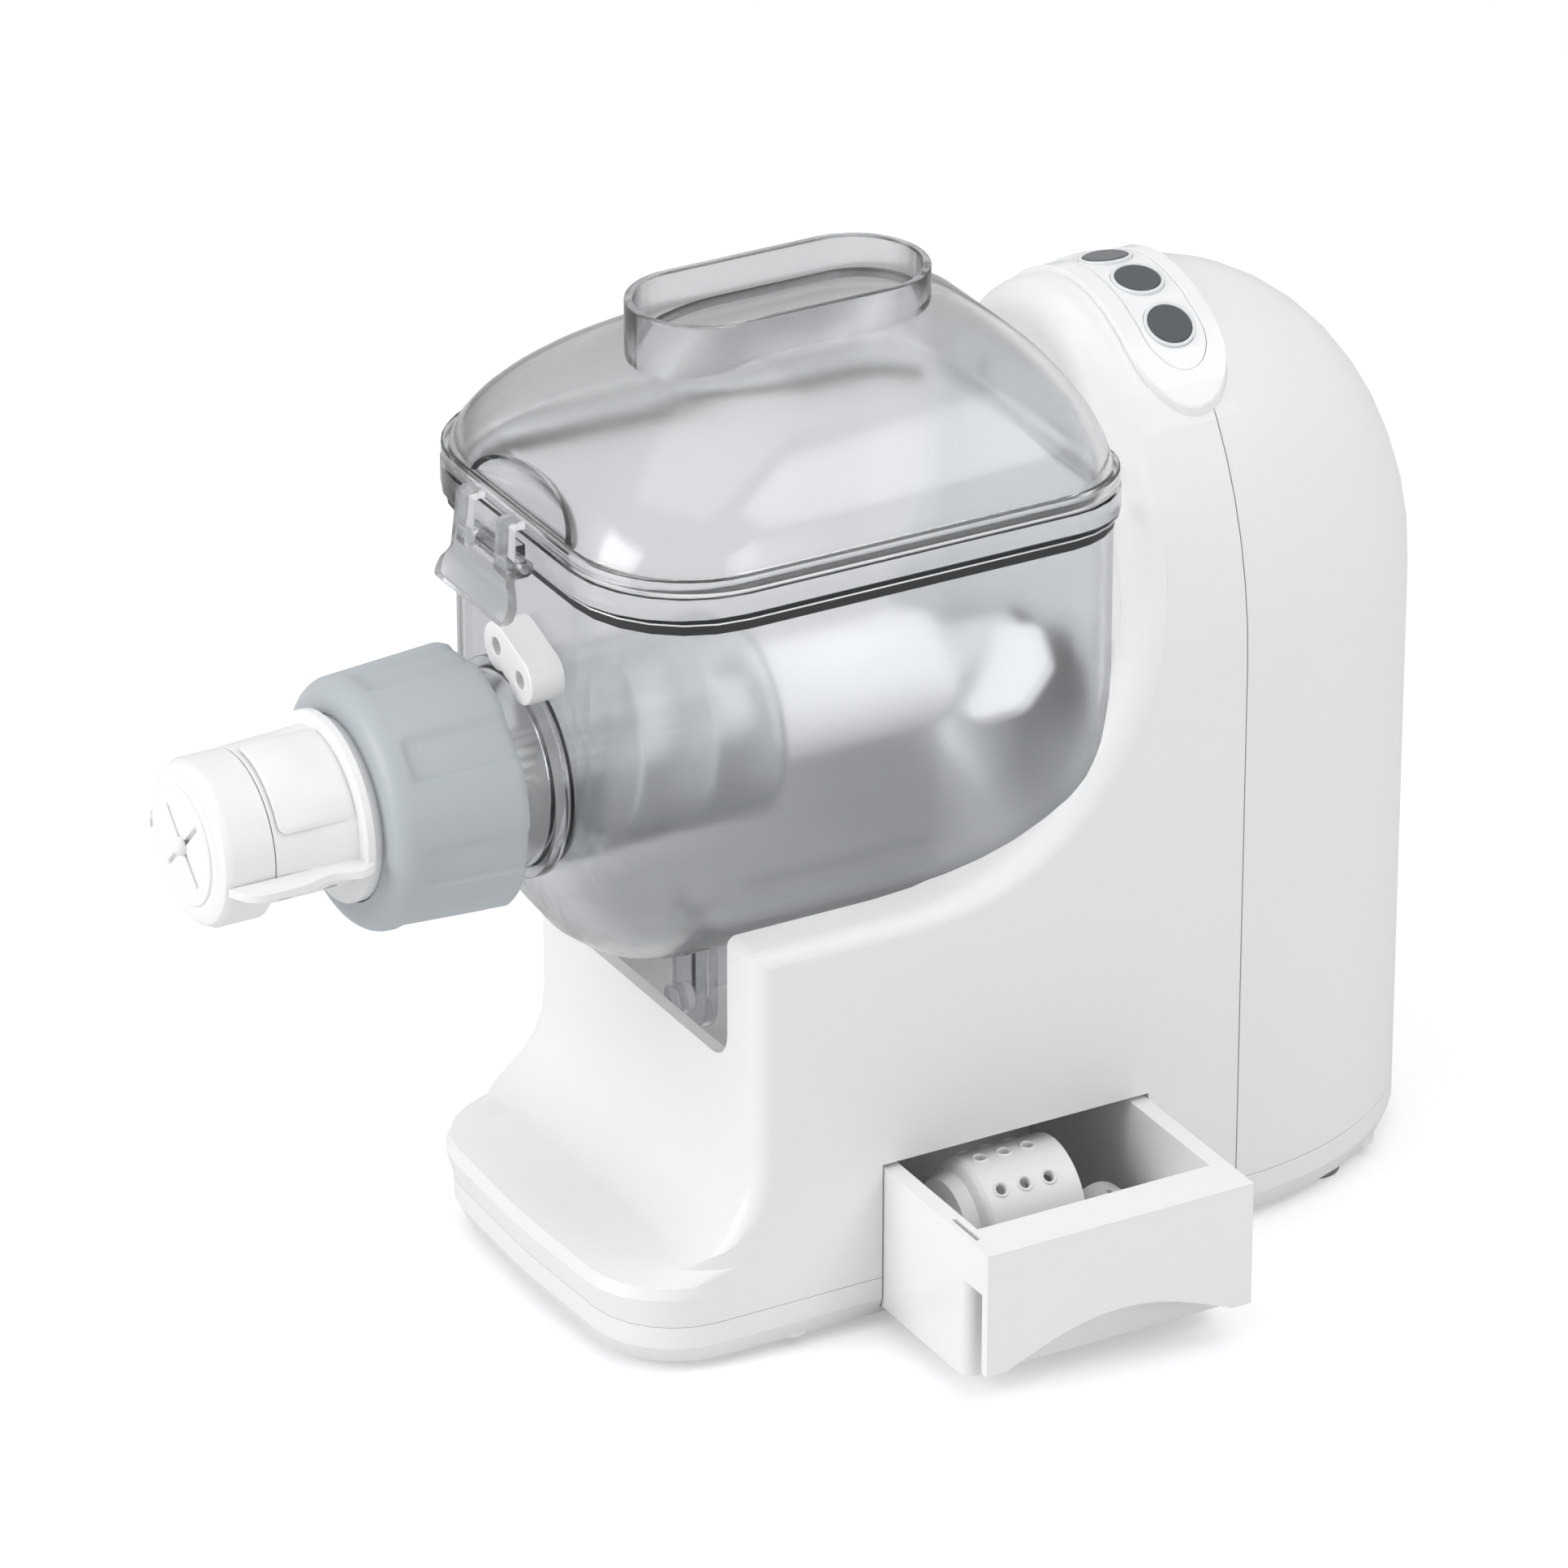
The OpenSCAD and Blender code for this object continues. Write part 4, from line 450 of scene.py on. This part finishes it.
def skin(name, rings, closed=False):
    """A closed mesh through rings of equal length. With closed, the last ring joins the first."""
    count = len(rings[0])
    points = [point for ring in rings for point in ring]
    faces = []
    last = len(rings) if closed else len(rings) - 1
    for j in range(last):
        low, high = j * count, (j + 1) % len(rings) * count
        for i in range(count):
            k = (i + 1) % count
            faces.append((low + i, low + k, high + k, high + i))
    if not closed:
        faces.append(tuple(reversed(range(count))))
        faces.append(tuple(range((len(rings) - 1) * count, len(rings) * count)))
    mesh = bpy.data.meshes.new(name)
    mesh.from_pydata([tuple(c * MM for c in point) for point in points], [], faces)
    shape = bmesh.new()
    shape.from_mesh(mesh)
    bmesh.ops.recalc_face_normals(shape, faces=shape.faces)
    shape.to_mesh(mesh)
    shape.free()
    piece = bpy.data.objects.new(name, mesh)
    bpy.context.scene.collection.objects.link(piece)
    return piece


def dress(piece, finish, node, angle=35.0, replaces=True):
    """Gives a finished piece its finish, smooth shading and the body that it rides on."""
    piece.data.materials.clear()
    piece.data.materials.append(finishes[finish])
    for face in piece.data.polygons:
        face.use_smooth = True
    piece.data.set_sharp_from_angle(angle=math.radians(angle))
    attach(piece, body_of_node[node])
    if replaces:
        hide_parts(node)


def cut(piece, tool, operation):
    """Joins a tool to a piece, or takes it away, and removes the tool."""
    change = piece.modifiers.new("cut", "BOOLEAN")
    change.operation = operation
    change.solver = "MANIFOLD"
    change.object = tool
    bake(piece)
    mesh = tool.data
    bpy.data.objects.remove(tool)
    bpy.data.meshes.remove(mesh)


# %% [markdown]
# The lid is one clear moulding: a dome on a flange, with an oval chute at the top and a scoop
# at the front for the latch. Its sizes are those of the solid, in millimetres.

# %% Lid sizes
lid_low, lid_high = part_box("lid")
clear_wall = 3.0
gap = 0.3
lid_z = round(lid_low[2] / MM + clear_wall, 2)
flange_h = 5.5
flange_edge = 0.6
flange_top = lid_z + flange_h
dome_h = 50.0
dome_edge = 1.0
dome_rise, dome_side, dome_front, dome_back = 1.8, 1.6, 1.64, 2.75
ridge_y0, ridge_y1 = -68.0, -44.0
dome_rows = 30
dome_end = 88.0
rim_x = lid_high[0] / MM + gap
rim_y0 = lid_low[1] / MM - gap
rim_y1 = lid_high[1] / MM + gap
rim_r0, rim_r1 = 37.0, 26.0
bowl_x, bowl_y0, bowl_r0, bowl_r1 = 64.6, -145.8, 34.0, 22.0
rib_edge = 0.3
chute_w, chute_l, chute_y, chute_wall = 44.0, 93.0, -62.3, 2.5
chute_top = lid_high[2] / MM
chute_steps = 16
rim_soft = 0.5
scoop_w, scoop_d, scoop_h, scoop_y = 29.5, 14.0, 13.5, -150.0
scoop_rows, scoop_around, scoop_end = 14, 64, 89
lid_sharp = 30.0
hair = 0.01
sliver = 0.001
overrun = 1.0
print("lid stands on z", lid_z, "and its chute ends at z", round(chute_top, 2), "mm")

# %% [markdown]
# The dome is a loft. Its plan shrinks and its height grows along a superellipse, so the sides rise
# steeply and then turn over softly. Thirty rings keep the reflections free of flat spots.
# The other forms are flat plates with one outline at several heights, and half an egg for the scoop.

# %% Lid forms
def dome(name, inset, base):
    """The dome from its base up, or with an inset the hollow below it."""
    rings = []
    for j in range(-1, dome_rows + 1):
        angle = math.radians(dome_end * max(j, 0) / dome_rows)
        c, rise = math.cos(angle), math.sin(angle)
        x = (rim_x - dome_edge - inset) * c ** (2 / dome_side)
        y0 = ridge_y0 + (rim_y0 + dome_edge + inset - ridge_y0) * c ** (2 / dome_front)
        y1 = ridge_y1 + (rim_y1 - dome_edge - inset - ridge_y1) * c ** (2 / dome_back)
        z = base if j < 0 else lid_z + (dome_h - inset) * rise ** (2 / dome_rise) + hair
        plan = rounded_ring(-x, x, y0, y1, min(rim_r0, x - hair), min(rim_r1, x - hair))
        rings.append([(px, py, z) for px, py in plan])
    return skin(name, rings)


def plate(name, outline, levels):
    """A flat block from (height, inset) levels of a plan outline(inset)."""
    return skin(name, [[(x, y, z) for x, y in outline(inset)] for z, inset in levels])


def rim_plan(inset):
    """The outer edge of the lid's flange."""
    x = rim_x - inset
    return rounded_ring(-x, x, rim_y0 + inset, rim_y1 - inset, rim_r0 - inset, rim_r1 - inset)


def bowl_plan(inset):
    """The outer wall of the bowl. With an inset, the rib that drops inside it."""
    x = bowl_x - inset
    return rounded_ring(-x, x, bowl_y0 + inset, rim_y1 - inset, bowl_r0 - inset, bowl_r1 - inset)


def chute_plan(inset):
    """The oval outline of the feed chute."""
    half_w, half_l = chute_w / 2 - inset, chute_l / 2 - inset
    corner = half_w - sliver
    return rounded_ring(-half_w, half_w, chute_y - half_l, chute_y + half_l, corner, corner, chute_steps)


def scoop(name, grow):
    """Half an egg with its flat side down, from rings that rise along a quarter circle."""
    rings = []
    base = flange_top - grow
    for j in range(scoop_rows + 1):
        rise = math.radians(scoop_end * j / scoop_rows)
        ring = []
        for i in range(scoop_around):
            turn = 2 * math.pi * i / scoop_around
            ring.append(((scoop_w + grow) * math.cos(rise) * math.cos(turn),
                         scoop_y + (scoop_d + grow) * math.cos(rise) * math.sin(turn),
                         base + (scoop_h + grow) * math.sin(rise)))
        rings.append(ring)
    return skin(name, rings)


# %% [markdown]
# The lid is put together as a toolmaker would cut its mould: first the outer form with its flange, scoop
# and chute, then one core for the hollow below, and last the bore of the chute.
# Where the core passes the scoop and the rib, the wall keeps its full thickness.

# %% Lid
lid = dome("piece_lid", 0, lid_z)
flange_levels = [
    (lid_z, gap + flange_edge),
    (lid_z + flange_edge, gap),
    (flange_top - flange_edge, gap),
    (flange_top, gap + flange_edge),
]
cut(lid, plate("flange", rim_plan, flange_levels), "UNION")
cut(lid, scoop("scoop", 0), "DIFFERENCE")
chute_levels = [
    (lid_z + dome_h / 2, 0),
    (chute_top - rim_soft, 0),
    (chute_top - round_share * rim_soft, round_share * rim_soft),
    (chute_top, rim_soft),
]
chute = plate("chute", chute_plan, chute_levels)
cut(chute, dome("core", clear_wall, lid_z - overrun), "DIFFERENCE")
cut(lid, chute, "UNION")
rib_in = clear_wall + gap
rib_low = lid_z - clear_wall
rib_levels = [(rib_low, rib_in + rib_edge), (rib_low + rib_edge, rib_in), (lid_z + gap, rib_in)]
cut(lid, plate("rib", bowl_plan, rib_levels), "UNION")
rib_core_levels = [(rib_low - overrun, rib_in + clear_wall), (lid_z + clear_wall, rib_in + clear_wall)]
core = dome("core", clear_wall, lid_z - overrun)
cut(core, plate("rib_core", bowl_plan, rib_core_levels), "UNION")
cut(core, scoop("scoop_core", clear_wall), "DIFFERENCE")
cut(lid, core, "DIFFERENCE")
bore_levels = [
    (lid_z + dome_h / 3, chute_wall),
    (chute_top - rim_soft, chute_wall),
    (chute_top, chute_wall - rim_soft),
    (chute_top + overrun, chute_wall - rim_soft),
]
cut(lid, plate("bore", chute_plan, bore_levels), "DIFFERENCE")
dress(lid, "smoky_lid", "lid", lid_sharp)
print("lid faces", len(lid.data.polygons))

# %% [markdown]
# The lock ring has seven grip flutes in its side. Each starts a little behind the front shoulder and runs
# out at the rear edge. Its floor comes up slowly on one side and quickly on the other.
# A formula lowers the radius inside each flute, so one skin holds the whole ring.

# %% Lock ring sizes
ring_low, ring_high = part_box("lock_ring")
ring_y0 = ring_low[1] / MM
ring_y1 = ring_high[1] / MM
ring_axis_z = round((ring_low[2] + ring_high[2]) / 2 / MM, 2)
ring_r1 = round((ring_high[2] - ring_low[2]) / 2 / MM, 2)
ring_taper = 2.0
ring_r0 = ring_r1 - ring_taper
shoulder = 6.0
face_step = 1.5
rear_edge = 1.5
ring_bore, ring_lip_r, ring_lip = 29.3, 27.4, 2.2
bore_edge = 0.4
bore_guard = 1
shoulder_step = 10
ring_rows = 26
ring_around = 360
flute_count, flute_first, flute_half, flute_depth = 7, 49.0, 10.0, 1.3
flute_start = 7.0
flute_soft = 3
flute_crisp = 1
print("lock ring axis z", ring_axis_z, "radius", ring_r0, "to", ring_r1, "mm")

# %% [markdown]
# One section of the ring goes around the axis in steps of a degree. Only its outside gets the flutes,
# so the bore and its front lip stay round.

# %% Lock ring
def smooth(low, high, value):
    """Rises softly from 0 at low to 1 at high."""
    t = min(max((value - low) / (high - low), 0.0), 1.0)
    return t * t * (3 - 2 * t)


def flute(angle, y):
    """How deep the flutes cut at an angle from the top and a place along the ring."""
    pitch = 360 / flute_count
    away = (angle - flute_first + pitch / 2) % pitch - pitch / 2
    across = smooth(-flute_half - flute_soft, -flute_half + flute_soft, away)
    across *= 1 - smooth(flute_half - flute_crisp, flute_half + flute_crisp, away)
    return flute_depth * across * smooth(ring_y0 + flute_start, ring_y0 + flute_start + flute_soft, y)


def ring_side():
    """The ring's section as (radius, y) points: front lip, shoulder, side, rear edge, bore."""
    side = [(ring_lip_r, ring_y0), (ring_r0 - shoulder - face_step, ring_y0)]
    for degrees in range(0, 91, shoulder_step):
        turn = math.radians(degrees)
        radius = ring_r0 - shoulder + shoulder * math.sin(turn)
        side.append((radius, ring_y0 + shoulder - shoulder * math.cos(turn)))
    length = ring_y1 - rear_edge - ring_y0 - shoulder
    for i in range(1, ring_rows + 1):
        side.append((ring_r0 + ring_taper * i / ring_rows, ring_y0 + shoulder + length * i / ring_rows))
    side.append((ring_r1 - round_share * rear_edge, ring_y1 - round_share * rear_edge))
    side.append((ring_r1 - rear_edge, ring_y1))
    side += [(ring_bore + bore_edge, ring_y1), (ring_bore, ring_y1 - bore_edge)]
    side += [(ring_bore, ring_y0 + ring_lip), (ring_lip_r, ring_y0 + ring_lip)]
    return side


side = ring_side()
rings = []
for i in range(ring_around):
    angle = 360 * i / ring_around
    turn = math.radians(angle)
    ring = []
    for radius, y in side:
        depth = flute(angle, y) if radius > ring_bore + bore_guard else 0
        ring.append(((radius - depth) * math.sin(turn), y, ring_axis_z + (radius - depth) * math.cos(turn)))
    rings.append(ring)
lock_ring = skin("piece_lock_ring", rings, closed=True)
dress(lock_ring, "ring_grey", "lock_ring")
print("lock ring faces", len(lock_ring.data.polygons))

# %% [markdown]
# The sleeve that turns around the die has a panel with a thin outline on its top.
# It is a thin patch that is bent around the drive axis, section by section. Near its two ends each
# section gets shorter, which rounds the corners, and a little lower, which softens the edge.

# %% Sleeve panel
panel_steps = 72
panel_root = 0.2
panel_round_share = 0.98


def bent_patch(name, angle0, angle1, y0, y1, corner, base, height, edge):
    """A patch on a cylinder of radius base, height thick, with round corners and soft edges."""
    length = math.radians(angle1 - angle0) * base
    places = [0.0, round_share * edge, edge]
    places += [edge + (length - 2 * edge) * i / panel_steps for i in range(1, panel_steps)]
    places += [length - edge, length - round_share * edge, length]
    rings = []
    for place in places:
        away = min(place, length - place, corner)
        short = corner - math.sqrt(corner ** 2 - (corner - away) ** 2)
        top = base + height - max(edge - min(place, length - place), 0)
        low, high = y0 + short * panel_round_share, y1 - short * panel_round_share
        section = [
            (low, base - panel_root),
            (high, base - panel_root),
            (high, top - edge),
            (high - round_share * edge, top - round_share * edge),
            (high - edge, top),
            (low + edge, top),
            (low + round_share * edge, top - round_share * edge),
            (low, top - edge),
        ]
        angle = math.radians(angle0) + place / base
        rings.append([(r * math.sin(angle), y, ring_axis_z + r * math.cos(angle)) for y, r in section])
    return skin(name, rings)


sleeve_r = 25.6
panel_angle0, panel_angle1 = -5.0, 69.5
panel_y0, panel_y1 = -234.3, -211.0
panel_corner, panel_height, panel_edge = 3.0, 0.5, 0.3
sleeve_panel = bent_patch("piece_sleeve_panel", panel_angle0, panel_angle1, panel_y0, panel_y1,
                          panel_corner, sleeve_r, panel_height, panel_edge)
dress(sleeve_panel, "white_satin", "cutter_sleeve", replaces=False)
print("sleeve panel faces", len(sleeve_panel.data.polygons))

# %% [markdown]
# In the photograph each hole of the tube die has a small raised collar around it.
# The collars are all alike, so a Geometry Nodes tree makes one bead ring and puts a copy on every hole.
# The holes are plain points that carry the direction they face.

# %% Bead ring tree
ring_segments = 40
bead_segments = 10


def bead_tree():
    """A tree that puts a ring of round bead on every point, facing as the point says."""
    tree = bpy.data.node_groups.new("bead_rings", "GeometryNodeTree")
    face = tree.interface
    face.new_socket("Geometry", in_out="INPUT", socket_type="NodeSocketGeometry")
    ring_in = face.new_socket("Ring Radius", in_out="INPUT", socket_type="NodeSocketFloat")
    bead_in = face.new_socket("Bead Radius", in_out="INPUT", socket_type="NodeSocketFloat")
    finish_in = face.new_socket("Finish", in_out="INPUT", socket_type="NodeSocketMaterial")
    face.new_socket("Geometry", in_out="OUTPUT", socket_type="NodeSocketGeometry")
    nodes, links = tree.nodes, tree.links
    start = nodes.new("NodeGroupInput")
    end = nodes.new("NodeGroupOutput")
    ring = nodes.new("GeometryNodeCurvePrimitiveCircle")
    bead = nodes.new("GeometryNodeCurvePrimitiveCircle")
    ring.inputs["Resolution"].default_value = ring_segments
    bead.inputs["Resolution"].default_value = bead_segments
    links.new(start.outputs["Ring Radius"], ring.inputs["Radius"])
    links.new(start.outputs["Bead Radius"], bead.inputs["Radius"])
    sweep = nodes.new("GeometryNodeCurveToMesh")
    links.new(ring.outputs["Curve"], sweep.inputs["Curve"])
    links.new(bead.outputs["Curve"], sweep.inputs["Profile Curve"])
    facing = nodes.new("GeometryNodeInputNamedAttribute")
    facing.data_type = "FLOAT_VECTOR"
    facing.inputs["Name"].default_value = "facing"
    turn = nodes.new("FunctionNodeAlignRotationToVector")
    turn.axis = "Z"
    links.new(facing.outputs["Attribute"], turn.inputs["Vector"])
    copies = nodes.new("GeometryNodeInstanceOnPoints")
    links.new(start.outputs["Geometry"], copies.inputs["Points"])
    links.new(sweep.outputs["Mesh"], copies.inputs["Instance"])
    links.new(turn.outputs["Rotation"], copies.inputs["Rotation"])
    real = nodes.new("GeometryNodeRealizeInstances")
    links.new(copies.outputs["Instances"], real.inputs["Geometry"])
    paint = nodes.new("GeometryNodeSetMaterial")
    links.new(real.outputs["Geometry"], paint.inputs["Geometry"])
    links.new(start.outputs["Finish"], paint.inputs["Material"])
    links.new(paint.outputs["Geometry"], end.inputs["Geometry"])
    return tree, ring_in.identifier, bead_in.identifier, finish_in.identifier


# %% [markdown]
# The tube lies on its side in the drawer. Its holes stand in three rows of nine, and each one faces
# straight out from the tube's axis.

# %% Die tube collars
bead_sharp = 60.0
hole_rows, holes_around, hole_first, hole_pitch = 3, 9, 15, 8
collar_r = 2.15
collar_bead = 0.42
tube_low, tube_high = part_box("die_tube")
tube_x = (tube_low[0] + tube_high[0]) / 2
tube_z = (tube_low[2] + tube_high[2]) / 2
tube_r = (tube_high[2] - tube_low[2]) / 2
places, directions = [], []
for row in range(hole_rows):
    y = tube_low[1] + (hole_first + hole_pitch * row) * MM
    for k in range(holes_around):
        angle = math.radians(360 / holes_around * k)
        way = (math.sin(angle), 0.0, math.cos(angle))
        places.append((tube_x + tube_r * way[0], y, tube_z + tube_r * way[2]))
        directions.extend(way)
holes = bpy.data.meshes.new("piece_die_collars")
holes.from_pydata(places, [], [])
holes.attributes.new("facing", "FLOAT_VECTOR", "POINT").data.foreach_set("vector", directions)
collars = bpy.data.objects.new("piece_die_collars", holes)
bpy.context.scene.collection.objects.link(collars)
tree, ring_id, bead_id, finish_id = bead_tree()
repeat = collars.modifiers.new("beads", "NODES")
repeat.node_group = tree
tube_finish = plain_pieces["die_tube"][0]
repeat[ring_id] = collar_r * MM
repeat[bead_id] = collar_bead * MM
repeat[finish_id] = finishes[tube_finish]
bake(collars)
dress(collars, tube_finish, "die_tube", bead_sharp, replaces=False)
print("collars", len(places), "faces", len(collars.data.polygons))

# %% [markdown]
# The colours are written for a plain view transform, so that a white of 0.85 renders as that white.

# %% Finish
bpy.context.scene.view_settings.view_transform = "Standard"
